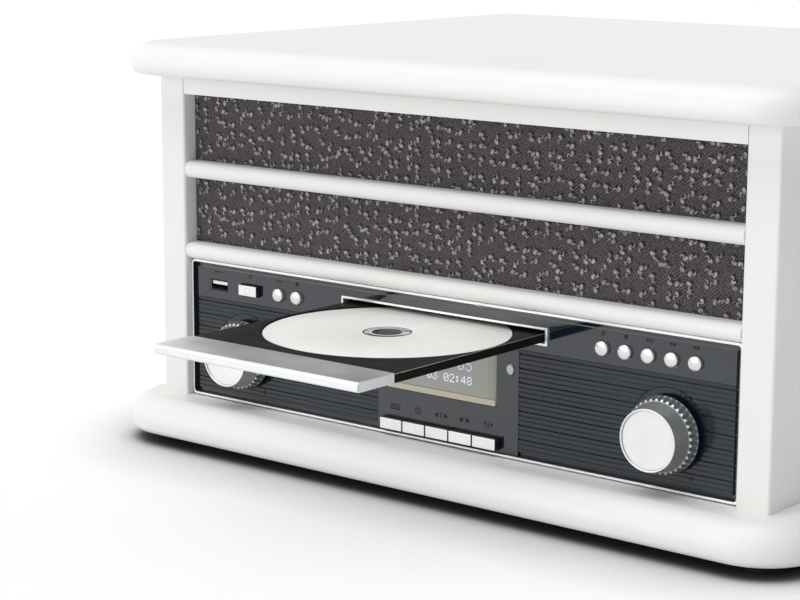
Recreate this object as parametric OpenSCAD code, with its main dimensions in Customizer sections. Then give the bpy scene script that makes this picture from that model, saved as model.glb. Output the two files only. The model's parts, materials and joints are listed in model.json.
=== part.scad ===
// Stereo music centre: a lacquered cabinet with speakers behind cloth, a CD drawer,
// a display with keys and knobs, and a belt-driven record deck under a hinged lid.
// Every piece is drawn as seen from the front, with its place counted from the post
// fronts and the table, then moved so that the origin is under the middle of the part.

/* [Cabinet] */
// Width over the two front posts
body_w = 379; // [366:1:420]
// Depth from the post fronts to the back
body_d = 326; // [322:1:350]
// Width of one front post
post_w = 17.5; // [14:0.5:20]
// Depth of one front post
post_d = 18; // [17:0.5:20]
// Thickness of the side panels
side_t = 12; // [10:0.5:14]
// Thickness of the back panel
back_t = 4; // [3:0.5:5]
// Height of the rubber feet
foot_h = 6; // [4:0.5:10]
// Radius of the rubber feet
foot_r = 12; // [8:0.5:14]
// Distance of a foot from the plinth edges
foot_inset = 26; // [20:1:40]
// How far the side battens stand out under the lid
batten_out = 6.5; // [4:0.5:9]

/* [Front heights] */
// Height of the bay for the control panel
panel_h = 75.8; // [75:0.2:80]
// Height of the rail above the control panel
lower_rail_h = 8.6; // [8:0.2:12]
// Height of the lower cloth strip
lower_cloth_h = 35.3; // [35:0.1:40]
// Height of the rail between the cloth strips
upper_rail_h = 9; // [8:0.2:12]
// Height of the upper cloth strip
upper_cloth_h = 36.1; // [36:0.1:40]
// Height of the white rail under the lid
frieze_h = 10.2; // [10:0.1:14]

/* [Plinth and lid] */
// Height of the plinth board
plinth_h = 19.5; // [18:0.5:24]
// How far the plinth stands out on each side
plinth_side = 22; // [16:0.5:26]
// How far the plinth stands out in front
plinth_front = 22.5; // [16:0.5:26]
// Radius of the plinth corners in plan
plinth_corner_r = 32; // [20:1:40]
// Radius of the plinth top edge
plinth_top_r = 13; // [8:0.5:13.5]
// Radius of the plinth bottom edge
plinth_bottom_r = 4; // [2:0.5:4.5]
// Thickness of the lid
lid_t = 16.7; // [16:0.1:20]
// How far the lid stands out on each side
lid_side = 19; // [14:0.5:24]
// How far the lid stands out in front
lid_front = 20; // [14:0.5:24]
// Radius of the lid corners in plan
lid_corner_r = 30; // [20:1:36]
// Radius of the lid top edge
lid_top_r = 11; // [7:0.5:11]
// Radius of the lid bottom edge
lid_bottom_r = 4.5; // [2:0.5:5]
// Depth of the hollow under the lid
lid_hollow = 11; // [10.6:0.1:11.5]

/* [Front cloth and speakers] */
// Radius of the round nose on the cloth rails
rail_nose_r = 4; // [2:0.5:4]
// Depth of the cloth face behind the posts
cloth_y = 8.3; // [7:0.1:9]
// Thickness of the cloth
cloth_t = 0.9; // [0.5:0.1:1]
// Thickness of the speaker board
baffle_t = 8; // [6:0.5:8]
// Radius of a speaker flange
speaker_r = 33; // [28:0.5:33]
// Distance of a speaker axis from the middle
speaker_x = 104; // [90:1:115]

/* [Control panel] */
// Depth of the panel face behind the posts
panel_y = 5.2; // [4.6:0.1:6]
// Thickness of the raised inlays on the panel
inlay_t = 1.2; // [1:0.1:1.6]
// Thickness of the panel behind the inlays
panel_t = 2.2; // [1.8:0.1:2.6]
// Width of the bright trim line round the panel
trim_w = 1.5; // [1:0.1:2]
// Radius of the bright trim's corners
trim_corner_r = 3; // [2.2:0.1:4]
// How far the bright trim stands out of the panel
trim_out = 1.5; // [0.8:0.1:2]
// Width of the sunk band inside the trim
band_w = 2.5; // [1.5:0.1:3]
// Height of the ribbed inlays' top above the bay floor
rib_top = 55; // [53:0.5:56]
// Distance between two deep grooves
groove_pitch = 7.07; // [5:0.01:9]
// Left end of the smooth middle block, from the middle
block_left = 40.9; // [39:0.1:46]
// Right end of the smooth middle block, from the middle
block_right = 47.5; // [47:0.1:52]

/* [Knobs and buttons] */
// Radius of a knob's front face
knob_face_r = 14.9; // [13:0.1:16]
// Radius of a knob where its flutes begin
knob_waist_r = 16.7; // [15.5:0.1:17.2]
// Radius of a knob's fluted skirt
knob_skirt_r = 18.6; // [17.5:0.1:19]
// Length of a knob in front of the panel
knob_len = 15.1; // [14:0.1:20]
// Length of a knob's fluted skirt
knob_skirt_len = 6; // [4:0.1:8]
// Gap between a knob and the panel
knob_lift = 2.7; // [0.5:0.1:3]
// Number of flutes round a knob
flutes = 36; // [30:1:60]
// Distance of a knob axis from the bay's side
knob_inset = 39.5; // [32:0.1:44]
// Height of the knob axis above the bay floor
knob_rise = 27.5; // [26:0.1:30]
// Radius of the smooth boss round a knob
knob_ring_r = 20.2; // [20:0.1:21]
// How far the boss lies above the knob axis
knob_ring_up = 1.6; // [0:0.1:2.5]
// Radius of a round button
button_r = 3.55; // [3:0.05:4]
// Distance between two round buttons
button_pitch = 12.7; // [11:0.1:13]
// Distance of the outermost round button from the bay's side
button_inset = 25.4; // [24:0.1:30]
// Height of the button row above the bay floor
button_rise = 62.6; // [62:0.1:63]
// How far a round button stands out
button_out = 2.6; // [2:0.1:3]
// Travel of a button
press_travel = 1.2; // [0.8:0.1:1.4]
// Width of the power button
power_w = 12.8; // [10:0.1:14]
// Height of the power button
power_h = 5.8; // [5:0.1:7]
// Distance of the power button from the bay's side
power_inset = 43; // [42:0.1:46]
// Distance of the sound file socket from the bay's side
usb_inset = 19.6; // [17:0.1:21]
// Width of one key under the display
key_w = 14.2; // [12:0.1:14.4]
// Height of one key
key_h = 5.9; // [5:0.1:6.4]
// Gap between two keys
key_gap = 0.5; // [0.4:0.05:0.8]
// Height of the keys' lower edge above the bay floor
key_rise = 3.3; // [3.2:0.1:4]
// How far a key stands out of the panel
key_out = 4; // [2.5:0.1:5]
// Width of the display window
display_w = 68; // [60:0.5:70]
// Height of the display window
display_h = 26.5; // [22:0.5:27]
// Height of the display's lower edge above the bay floor
display_rise = 24.5; // [22:0.5:26]
// Radius of the remote sensor lens
sensor_r = 2.75; // [2:0.05:2.8]

/* [Disc drawer] */
// Radius of a disc
disc_r = 60; // [40:0.5:60]
// Thickness of a disc
disc_t = 1.2; // [1.1:0.05:1.3]
// Radius of a disc's hole
disc_hole_r = 7.5; // [7:0.1:8]
// Width of the drawer
tray_w = 124; // [124:0.1:126]
// Thickness of the drawer at its sides
tray_t = 4.1; // [4:0.05:4.2]
// How far the open drawer reaches in front of the posts
tray_out = 132.6; // [125:0.1:136]
// Depth of the drawer's metal front piece
tray_front_d = 25; // [18:0.5:25]
// Distance of the disc pocket from the front piece
pocket_front = 9.5; // [7:0.1:12]
// How far a disc lies below the drawer's top
disc_depth = 0.6; // [0.4:0.1:1.2]
// Height of the slot frame's lower edge above the bay floor
slot_rise = 59.1; // [58.8:0.1:59.4]
// Height of the slot frame
slot_h = 8.9; // [8.8:0.1:9.2]
// Width of the slot frame's bars
slot_bar = 1.2; // [1:0.1:1.2]
// Size of the gear teeth under the drawer, as pitch diameter over teeth
gear_module = 0.6; // [0.5:0.05:0.6]
// Number of teeth on the loading pinion
pinion_teeth = 30; // [24:1:32]

/* [Record deck] */
// Radius of the platter
platter_r = 100; // [90:0.5:105]
// Depth of the deck plate under the cabinet's top edge
deck_depth = 19.5; // [19:0.1:20]
// Thickness of the deck plate
deck_t = 3; // [2:0.5:4]
// Radius of the record spindle
spindle_r = 3.55; // [3.4:0.01:3.6]
// Radius of the spindle's shaft in its bearing
journal_r = 3; // [2.5:0.05:3.2]
// Radius of the belt's ring under the platter
belt_ring_r = 55; // [45:0.5:58]
// Radius of the motor pulley
pulley_r = 6; // [5:0.1:8]
// Distance from the platter axis to the motor axis
motor_reach = 76; // [74:0.5:82]
// Length of the arm from its pivot to the stylus
arm_len = 196; // [190:0.5:200]
// Distance of the arm pivot right of the platter axis
arm_right = 152; // [148:0.5:154]
// Distance of the arm pivot behind the platter axis
arm_back = 98; // [94:0.5:100]
// Distance of the arm pivot from the right wall
arm_wall = 47.5; // [47:0.5:50]
// Distance of the arm pivot from the back panel
arm_rear = 54; // [50:0.5:56]
// Radius of the arm tube
arm_r = 3.5; // [3:0.1:3.5]

/* [Hidden] */

// Clearances: between pieces of one body, between moving pieces, and of a running shaft
seat_gap = 0.2;
move_gap = 0.3;
shaft_gap = 0.05;
// Overlap of a cutting tool past the face it cuts
past = 1;

// Heights, counted from the table
plinth_z = foot_h;
floor_z = plinth_z + plinth_h;
rail1_z = floor_z + panel_h;
cloth1_z = rail1_z + lower_rail_h;
rail2_z = cloth1_z + lower_cloth_h;
cloth2_z = rail2_z + upper_rail_h;
frieze_z = cloth2_z + upper_cloth_h;
top_z = frieze_z + frieze_h;
lid_z = top_z + move_gap;
deck_z = top_z - deck_depth;

// Places across and along the cabinet
body_x = body_w / 2;
bay_x = body_x - post_w;
room_x = body_x - side_t;
room_back = body_d - back_t;
baffle_y = cloth_y + cloth_t + move_gap;
speaker_z = (cloth1_z + frieze_z) / 2 - 6.5;

// Hinge line, with the barrels just behind the back
barrel_r = 3;
hinge_pin_r = 1.3;
hinge_y = body_d + move_gap + barrel_r;
hinge_z = top_z + move_gap / 2;
leaf_t = 1.2;
body_leaf_h = 32;
lid_leaf_h = 13;
hinge_x = body_x - 80;
knuckle = 9;

// The origin is under the middle of the part, with the drawer open
origin_y = (hinge_y + barrel_r - tray_out) / 2;

// Control panel planes
trim_x = bay_x - move_gap;
trim_y = panel_y - trim_out;
panel_x = trim_x - trim_w;
panel_z0 = floor_z + move_gap + trim_w;
panel_z1 = rail1_z - move_gap - trim_w;
sunk_y = panel_y + inlay_t;
panel_back = sunk_y + panel_t;
rib_z = floor_z + rib_top;
knob_x = bay_x - knob_inset;
knob_z = floor_z + knob_rise;
knob_ring_z = knob_z + knob_ring_up;
knob_back_y = panel_y - knob_lift;
button_z = floor_z + button_rise;
display_z = floor_z + display_rise;
key_z = floor_z + key_rise;
key_pitch = key_w + key_gap;
keys_w = 5 * key_w + 4 * key_gap;
power_x = bay_x - power_inset;
usb_x = bay_x - usb_inset;
sensor_x = (display_w / 2 + block_right) / 2 + 2;
sensor_z = floor_z + 44.5;
// Round buttons counted inwards from the bay's side, in two groups
function right_button_x(i) = bay_x - button_inset - i * button_pitch;
function key_x(i) = -keys_w / 2 + key_w / 2 + i * key_pitch;

// Button caps
flange_t = 1;
flange_y = panel_back + move_gap;
stem_y = flange_y + flange_t + 0.6;
switch_y = stem_y + press_travel + move_gap;
board_y = switch_y + 2;
board_t = 1.6;

// Sound file socket, a standard rectangular one
usb_w = 13.1;
usb_h = 5.7;
usb_wall = 0.4;
usb_len = 14;

// Disc drawer
slot_z = floor_z + slot_rise;
slot_x = tray_w / 2 + move_gap + 1 + slot_bar;
slot_y = panel_y - 1.3;
tray_z = slot_z + slot_bar + 0.5;
tray_top = tray_z + tray_t;
disc_z = tray_top - disc_depth - disc_t;
pocket_z = disc_z - 0.1;
pocket_r = disc_r + 0.8;
tray_front_y = -tray_out;
tray_y = tray_front_y + tray_front_d;
disc_y = tray_y + pocket_r + pocket_front;
tray_travel = tray_out + slot_y;
tray_end = disc_y + pocket_r + 24;
rack_w = 4;
rack_x = -tray_w / 2 + 0.6 + rack_w / 2;
tooth_pitch = PI * gear_module;
tooth_up = gear_module;
tooth_down = 1.25 * gear_module;
rack_line_z = tray_z + tooth_up;
pinion_r = gear_module * pinion_teeth / 2;
pinion_y = tray_end - 9;
pinion_z = rack_line_z - pinion_r;
pinion_shaft_r = 1.5;
pressure_angle = 20;
tooth_play = 0.12;
rail_shelf = 6;
loader_x = tray_w / 2 + move_gap + rail_shelf;
loader_y = panel_back + 6;
loader_end = disc_y + tray_travel + pocket_r + 26;
loader_z = tray_z - move_gap - 4;
base_z = loader_z - 2;

// Record deck
arm_x = room_x - arm_wall;
arm_y = room_back - arm_rear;
platter_x = arm_x - arm_right;
platter_y = arm_y - arm_back;
platter_z = deck_z + 2.5;
platter_top = deck_z + 10;
mat_t = 2;
mat_top = platter_top + mat_t;
spindle_top = mat_top + 8;
bearing_r = 7;
bearing_z = deck_z - deck_t - 25;
web_z = platter_top - 2.5;
belt_z = platter_z + 1.2;
belt_h = 3;
belt_t = 0.6;
belt_gap = 0.15;
motor_angle = 150;
motor_x = platter_x + motor_reach * cos(motor_angle);
motor_y = platter_y + motor_reach * sin(motor_angle);
motor_r = 16;
motor_h = 26;
motor_shaft_r = 1.5;
arm_z = top_z - 0.5;
arm_pin_r = 1.2;
ear_gap = 12;
ear_t = 2.5;
turret_z = deck_z + 8;
turret_r = 11;
turret_shaft_r = 4;
rest_back = 112;
cue_x = arm_x + 28;
cue_y = arm_y - 62;
cue_z = deck_z + 7;
cue_len = 32;
speed_x = -room_x + 24;
speed_y = post_d + 26;

// Lid stay on the right wall
stay_y = hinge_y - 79;
stay_z = hinge_z - 10.6;
stay_len = 120;
stay_end_r = 4.5;
stay_t = 2.5;
stay_pin_r = 2;
stay_x = room_x - 4.6;
catch_reach = 104;
catch_w = 5;
catch_d = 14;

// Sockets and vents on the back
socket_z = floor_z + 24;
jack_r = 4.15;
jack_out = 6;
jack_pitch = 18;
jack_x = -95;
jack_seat = 12;
jack_base = 14;
aerial_x = jack_x + 2.4 * jack_pitch;
aerial_r = 4.7;
inlet_x = 100;
inlet_w = 24;
inlet_h = 16;
inlet_mouth_w = 18;
inlet_mouth_h = 9;
vent_w = 4;
vent_h = 24;
vent_pitch = 12;
vent_reach = 90;
vent_rise = 72;

// Main board and transformer on the floor
pcb_x0 = -135;
pcb_w = 190;
pcb_d = 106;
pcb_up = 8;
pcb_inset = 7;
heat_sink_w = 50;
heat_sink_h = 32;
mains_coil_x = 95;

$fn = 48;

module placed() {
    translate([0, -origin_y, 0]) children();
}

// Turns a shape drawn upwards so that it points to the front, with its own +Y up
module facing(x, y, z) {
    translate([x, y, z]) rotate([90, 0, 0]) children();
}

module both_sides() {
    children();
    mirror([1, 0, 0]) children();
}

module block(x0, x1, y0, y1, z0, z1) {
    translate([x0, y0, z0]) cube([x1 - x0, y1 - y0, z1 - z0]);
}

module tube(r_out, r_in, h) {
    difference() {
        cylinder(r = r_out, h = h);
        translate([0, 0, -past]) cylinder(r = r_in, h = h + 2 * past);
    }
}

// Points on an arc round (x, y)
function arc(x, y, r, a0, a1, n = 8) =
    [for (i = [0:n]) [x + r * cos(a0 + (a1 - a0) * i / n), y + r * sin(a0 + (a1 - a0) * i / n)]];

// Outline of a board's edge: width inwards, height up, both outer edges rounded
function edge_points(w, h, top_r, bottom_r) = concat(
    [[0, 0]],
    arc(w - bottom_r, bottom_r, bottom_r, -90, 0, 5),
    arc(w - top_r, h - top_r, top_r, 0, 90, 9),
    [[0, h]]);

// A board with a rounded edge on three sides, round front corners and a square back
module edged_board(half_w, y0, y1, h, corner_r, top_r, bottom_r) {
    inner_x = half_w - corner_r;
    inner_y = y0 + corner_r;
    block(-inner_x, inner_x, inner_y, y1, 0, h);
    both_sides() {
        translate([inner_x, y1, 0]) rotate([90, 0, 0]) linear_extrude(y1 - inner_y)
            polygon(edge_points(corner_r, h, top_r, bottom_r));
        translate([inner_x, inner_y, 0]) rotate([0, 0, -90]) rotate_extrude(angle = 90, $fn = 96)
            polygon(edge_points(corner_r, h, top_r, bottom_r));
    }
    translate([inner_x, inner_y, 0]) rotate([90, 0, -90]) linear_extrude(2 * inner_x)
        polygon(edge_points(corner_r, h, top_r, bottom_r));
}

// A square block whose front edges are cut back by a chamfer
module chamfered_cap(x, z, w, h, front, back, cut) {
    intersection() {
        translate([x, 0, z - h / 2]) linear_extrude(h)
            polygon([[-w / 2, back], [-w / 2, front + cut], [-w / 2 + cut, front],
                [w / 2 - cut, front], [w / 2, front + cut], [w / 2, back]]);
        translate([x - w / 2, 0, z]) rotate([90, 0, 90]) linear_extrude(w)
            polygon([[back, -h / 2], [front + cut, -h / 2], [front, -h / 2 + cut],
                [front, h / 2 - cut], [front + cut, h / 2], [back, h / 2]]);
    }
}

module feet() color("dimgray") placed() {
    foot_x = body_x + plinth_side - foot_inset;
    for (x = [-foot_x, foot_x], y = [foot_inset - plinth_front, body_d - foot_inset])
        translate([x, y, 0]) rotate_extrude()
            polygon([[0, 0], [foot_r - 2.5, 0], [foot_r - 1.5, 1], [foot_r, foot_h], [0, foot_h]]);
}

module plinth() color("whitesmoke") placed() translate([0, 0, plinth_z])
    edged_board(body_x + plinth_side, -plinth_front, body_d, plinth_h,
        plinth_corner_r, plinth_top_r, plinth_bottom_r);

module side_panels() color("whitesmoke") placed() both_sides()
    block(room_x, body_x, post_d, body_d, floor_z, top_z);

// Two posts with softened front edges, and the rail between them under the lid
module front_frame() color("whitesmoke") placed() {
    soft = 1.5;
    both_sides() translate([bay_x, 0, floor_z]) linear_extrude(top_z - floor_z)
        polygon(concat([[0, post_d]], arc(soft, soft, soft, 180, 270, 4),
            arc(post_w - soft, soft, soft, 270, 360, 4), [[post_w, post_d]]));
    block(-bay_x, bay_x, 0.5, post_d, frieze_z, top_z);
}

// Two round-nosed rails that frame the cloth strips
module cloth_rails() color("whitesmoke") placed() {
    for (rail = [[rail1_z, lower_rail_h], [rail2_z, upper_rail_h]])
        translate([-bay_x, 0, rail[0]]) rotate([90, 0, 90]) linear_extrude(2 * bay_x)
            polygon(concat([[baffle_y, 0]], arc(rail_nose_r, rail_nose_r, rail_nose_r, 270, 180, 8),
                arc(rail_nose_r, rail[1] - rail_nose_r, rail_nose_r, 180, 90, 8),
                [[baffle_y, rail[1]]]));
}

// White battens outside under the lid, and plain ones inside that carry the deck
module wood_battens() color("linen") placed() {
    deck_under = deck_z - deck_t;
    shelf_w = 9;
    both_sides() {
        translate([body_x, body_d - 12, frieze_z]) rotate([90, 0, 0])
            linear_extrude(body_d - post_d - 24)
            polygon([[0, 0], [batten_out / 2, 0], [batten_out, batten_out / 2],
                [batten_out, frieze_h], [0, frieze_h]]);
        block(room_x - shelf_w, room_x, post_d, room_back - 16, deck_under - 9, deck_under);
    }
    block(-room_x, room_x, room_back - 16, room_back, deck_under - 16, deck_under);
}

module back_panel() color("gainsboro") placed() difference() {
    block(-room_x, room_x, room_back, body_d, floor_z, top_z);
    for (x = [-vent_reach:vent_pitch:vent_reach], row = [0, 1])
        translate([0, 0, floor_z + vent_rise + row * (vent_h + 8)])
            block(x - vent_w / 2, x + vent_w / 2, room_back - past, body_d + past, 0, vent_h);
    for (i = [0, 1])
        translate([jack_x + i * jack_pitch, body_d + past, socket_z]) rotate([90, 0, 0])
            cylinder(r = jack_r + 2.2, h = back_t + 2 * past);
    translate([aerial_x, body_d + past, socket_z]) rotate([90, 0, 0])
        cylinder(r = aerial_r + 0.5, h = back_t + 2 * past);
    block(inlet_x - inlet_w / 2, inlet_x + inlet_w / 2, room_back - past, body_d + past,
        socket_z - inlet_h / 2, socket_z + inlet_h / 2);
}

module grille_cloths() color("dimgray") placed() {
    for (strip = [[cloth1_z, lower_cloth_h], [cloth2_z, upper_cloth_h]])
        block(-bay_x + seat_gap, bay_x - seat_gap, cloth_y, cloth_y + cloth_t,
            strip[0] + seat_gap, strip[0] + strip[1] - seat_gap);
}

module baffle_board() color("tan") placed() difference() {
    block(-bay_x, bay_x, baffle_y, baffle_y + baffle_t, rail1_z, frieze_z);
    for (x = [-speaker_x, speaker_x])
        facing(x, baffle_y + baffle_t + past, speaker_z)
            cylinder(r = speaker_r - 4, h = baffle_t + 2 * past, $fn = 96);
}

// Pressed basket with a flange on the board, four legs and a magnet
module speaker_frames() color("darkgray") placed() {
    basket_d = 26;
    magnet_d = 13;
    for (x = [-speaker_x, speaker_x])
        translate([x, baffle_y + baffle_t, speaker_z]) rotate([-90, 0, 0]) {
            difference() {
                rotate_extrude($fn = 96) polygon([[speaker_r - 5, 0], [speaker_r, 0],
                    [speaker_r, 1.5], [speaker_r - 4, 1.5], [17, basket_d], [9, basket_d],
                    [9, basket_d - 1.5], [16, basket_d - 1.5]]);
                for (a = [0:90:270]) rotate([0, 0, a]) translate([8, 8, 4])
                    cube([22, 22, basket_d - 8]);
            }
            translate([0, 0, basket_d]) cylinder(r = 21, h = magnet_d);
        }
}

// Paper cone with a rubber roll, a dust cap and a coil neck
module speaker_cones() color("black") placed() {
    rim = speaker_r - 5.7;
    for (x = [-speaker_x, speaker_x])
        translate([x, baffle_y + baffle_t, speaker_z]) rotate([-90, 0, 0]) rotate_extrude($fn = 96)
            polygon([[0, 15], [5, 14], [8, 17], [rim - 3.3, 1.5], [rim - 1.3, 0.3], [rim, 0.3],
                [rim, 0.9], [rim - 1.1, 0.9], [rim - 2.8, 2.6], [9, 18.6], [8.4, 24], [7.6, 24],
                [7.6, 18.6], [0, 16.2]]);
}

// Moulded deck plate on the battens, with the holes for bearing, motor and levers
module turntable_deck() color("black") placed() difference() {
    union() {
        block(-room_x + seat_gap, room_x - seat_gap, baffle_y + baffle_t + 0.6,
            room_back - seat_gap, deck_z - deck_t, deck_z);
        translate([platter_x, platter_y, deck_z])
            tube(platter_r + 8, platter_r + 5, 1.2, $fn = 96);
    }
    translate([platter_x, platter_y, deck_z - deck_t - past])
        cylinder(r = bearing_r + seat_gap, h = deck_t + 2 * past);
    translate([motor_x, motor_y, deck_z - deck_t - past]) cylinder(r = 5, h = deck_t + 2 * past);
    translate([speed_x, speed_y, deck_z - deck_t - past])
        cylinder(r = 3 + shaft_gap, h = deck_t + 2 * past);
}

module platter_bearing() color("goldenrod") placed() translate([platter_x, platter_y, 0])
    difference() {
        union() {
            translate([0, 0, bearing_z]) cylinder(r = bearing_r, h = deck_z - bearing_z);
            translate([0, 0, deck_z - deck_t - 2]) cylinder(r = bearing_r + 8, h = 2);
        }
        translate([0, 0, bearing_z + 3])
            cylinder(r = journal_r + shaft_gap, h = deck_z - bearing_z);
    }

module turntable_motor() color("silver") placed()
    translate([motor_x, motor_y, deck_z - deck_t - motor_h]) difference() {
        union() {
            cylinder(r = motor_r, h = motor_h - 1.5);
            translate([-motor_r - 5, -7, motor_h - 1.5]) cube([2 * motor_r + 10, 14, 1.5]);
        }
        translate([0, 0, motor_h - 14]) cylinder(r = motor_shaft_r + shaft_gap, h = 14 + past);
    }

// Flat rubber belt round the platter's ring and the pulley
module belt_loop(grow) {
    hull() {
        translate([platter_x, platter_y]) circle(r = belt_ring_r + belt_gap + grow, $fn = 96);
        translate([motor_x, motor_y]) circle(r = pulley_r + belt_gap + grow, $fn = 32);
    }
}

module drive_belt() color("black") placed() translate([0, 0, belt_z]) linear_extrude(belt_h)
    difference() {
        belt_loop(belt_t);
        belt_loop(0);
    }

// Arm pedestal, the rest that the arm lies in, and the bearing of the cue lever
module arm_base() color("black") placed() {
    difference() {
        translate([arm_x, arm_y, deck_z]) rotate_extrude()
            polygon([[0, 0], [18, 0], [18, 2], [13, 4], [11, 7.7], [0, 7.7]]);
        translate([arm_x, arm_y, deck_z + 1])
            cylinder(r = turret_shaft_r + shaft_gap, h = 10);
    }
    translate([arm_x, arm_y - rest_back, deck_z]) {
        cylinder(r = 4, h = arm_z - arm_r - move_gap - deck_z);
        block(-4, 8, -3, 3, arm_z - arm_r - move_gap - deck_z - 3, arm_z - arm_r - move_gap - deck_z);
        block(arm_r + 0.6, 8, -3, 3, arm_z - arm_r - move_gap - deck_z, arm_z + 2.5 - deck_z);
    }
    difference() {
        block(cue_x - 6, cue_x + 6, cue_y - 5, cue_y + 5, deck_z, cue_z + 4);
        block(cue_x - 2.3, cue_x + 2.3, cue_y - 6, cue_y + 6, deck_z + 1.5, cue_z + 5);
        translate([cue_x - 7, cue_y, cue_z]) rotate([0, 90, 0])
            cylinder(r = 1.5 + shaft_gap, h = 14);
    }
}

// Upright plate with round corners, seen from the front
module round_plate(half_w, y0, y1, z0, z1, r) {
    in_x = half_w - r;
    facing(0, y1, 0) linear_extrude(y1 - y0)
        polygon(concat(arc(in_x, z0 + r, r, -90, 0, 5), arc(in_x, z1 - r, r, 0, 90, 5),
            arc(-in_x, z1 - r, r, 90, 180, 5), arc(-in_x, z0 + r, r, 180, 270, 5)));
}

// Outline of everything cut through the panel
module panel_cuts() {
    deep = panel_back + past;
    both_sides() facing(knob_x, deep, knob_z) cylinder(r = 4.8, h = panel_back + 2);
    for (x = button_places()) facing(x, deep, button_z)
        cylinder(r = button_r + move_gap, h = panel_back + 2);
    block(-power_x - power_w / 2 - move_gap, -power_x + power_w / 2 + move_gap, 0, deep,
        button_z - power_h / 2 - move_gap, button_z + power_h / 2 + move_gap);
    block(-usb_x - usb_w / 2 - seat_gap, -usb_x + usb_w / 2 + seat_gap, 0, deep,
        button_z - usb_h / 2 - seat_gap, button_z + usb_h / 2 + seat_gap);
    block(-keys_w / 2 - move_gap, keys_w / 2 + move_gap, 0, deep,
        key_z - move_gap, key_z + key_h + move_gap);
    block(-display_w / 2 - seat_gap, display_w / 2 + seat_gap, 0, deep,
        display_z - seat_gap, display_z + display_h + seat_gap);
    block(-slot_x - seat_gap, slot_x + seat_gap, 0, deep,
        slot_z - seat_gap, slot_z + slot_h + seat_gap);
    facing(sensor_x, deep, sensor_z) cylinder(r = sensor_r + seat_gap, h = panel_back + 2);
}

function button_places() = concat([for (i = [0:4]) right_button_x(i)],
    [for (i = [3:4]) -right_button_x(i)]);

// Moulded panel: a smooth strip on top, a smooth middle block and a boss for each knob
module control_panel() color("dimgray") placed() difference() {
    union() {
        round_plate(panel_x, sunk_y, panel_back, panel_z0, panel_z1, trim_corner_r - trim_w);
        block(-panel_x + band_w, panel_x - band_w, panel_y, sunk_y,
            rib_z + seat_gap, panel_z1 - band_w);
        block(-block_left, block_right, panel_y, sunk_y, panel_z0, rib_z + 1);
        both_sides() facing(knob_x, sunk_y, knob_ring_z)
            cylinder(r = knob_ring_r, h = inlay_t, $fn = 96);
    }
    panel_cuts();
}

// Outline of a ribbed plate seen from its end: one deep groove and two light ones in turn
function rib_points(h) = concat([[0, 0]],
    [for (i = [0:floor(3 * h / groove_pitch) - 1])
        let (up = h - (i + 0.75) * groove_pitch / 3, deep = i % 3 == 0,
            half = deep ? 0.55 : 0.35, cut = deep ? 0.8 : 0.35)
        each [[inlay_t, up + half], [inlay_t - cut, up + half / 2],
            [inlay_t - cut, up - half / 2], [inlay_t, up - half]]],
    [[inlay_t, 0]]);

module ribbed_inlays() color("dimgray") placed() {
    plate_z = panel_z0 + band_w;
    plate_h = rib_z - plate_z;
    for (span = [[-panel_x + band_w, -block_left - seat_gap], [block_right + seat_gap, panel_x - band_w]])
        difference() {
            translate([span[0], sunk_y, plate_z]) rotate([90, 0, 90]) linear_extrude(span[1] - span[0])
                polygon([for (p = concat([[0, 0], [0, plate_h], [inlay_t, plate_h]],
                    [for (q = rib_points(plate_h)) if (q != [0, 0]) q])) [-p[0], p[1]]]);
            both_sides() facing(knob_x, sunk_y + past, knob_ring_z)
                cylinder(r = knob_ring_r + seat_gap, h = inlay_t + 2 * past, $fn = 96);
        }
}

// Bright frame round the panel, with small round corners
module panel_trim() color("silver") placed() difference() {
    round_plate(trim_x, trim_y, panel_back - 0.5, floor_z + move_gap, rail1_z - move_gap,
        trim_corner_r);
    round_plate(panel_x + 0.01, 0, panel_back, panel_z0 - 0.01, panel_z1 + 0.01,
        trim_corner_r - trim_w);
}

module slot_trim() color("silver") placed() difference() {
    block(-slot_x, slot_x, slot_y, panel_back, slot_z, slot_z + slot_h);
    block(-slot_x + slot_bar, slot_x - slot_bar, 0, panel_back + past,
        slot_z + slot_bar, slot_z + slot_h - slot_bar);
}

// Display window with a bevelled rim, and the domed lens of the remote sensor
module front_lenses() color("lightslategray") placed() {
    chamfered_cap(0, display_z + display_h / 2, display_w, display_h,
        panel_y - 0.6, panel_back, 1.4);
    facing(sensor_x, panel_back, sensor_z) rotate_extrude()
        polygon(concat([[0, 0], [sensor_r, 0]],
            [for (a = [0:15:90]) [sensor_r * cos(a), panel_t + inlay_t + 0.9 * sin(a)]]));
}

// Circuit board behind the panel with its switches, encoders and display module
module front_board() color("darkgreen") placed() {
    board_z = panel_z0 + 1;
    difference() {
        block(-panel_x + 5, panel_x - 5, board_y, board_y + board_t, board_z, panel_z1 - 2);
        block(-loader_x - 2, loader_x + 2, board_y - past, board_y + board_t + past,
            base_z - 2, panel_z1);
        block(-usb_x - usb_w / 2 - 1, -usb_x + usb_w / 2 + 1, board_y - past,
            board_y + board_t + past, button_z - usb_h / 2 - 1, button_z + usb_h / 2 + 1);
    }
    for (x = concat(button_places(), [-power_x]))
        block(x - 3, x + 3, switch_y, board_y, button_z - 3, button_z + 3);
    for (i = [0:4])
        block(key_x(i) - 3, key_x(i) + 3, switch_y, board_y, key_z, key_z + 5.8);
    both_sides() facing(knob_x, board_y, knob_z) difference() {
        union() {
            translate([-6, -6, 0]) cube([12, 12, board_y - panel_back - 1]);
            cylinder(r = 4.5, h = board_y - panel_y - 0.4);
        }
        translate([0, 0, 1]) cylinder(r = 3 + shaft_gap, h = board_y);
    }
    block(-display_w / 2, display_w / 2, panel_back + seat_gap, board_y,
        display_z, display_z + display_h);
}

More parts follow.
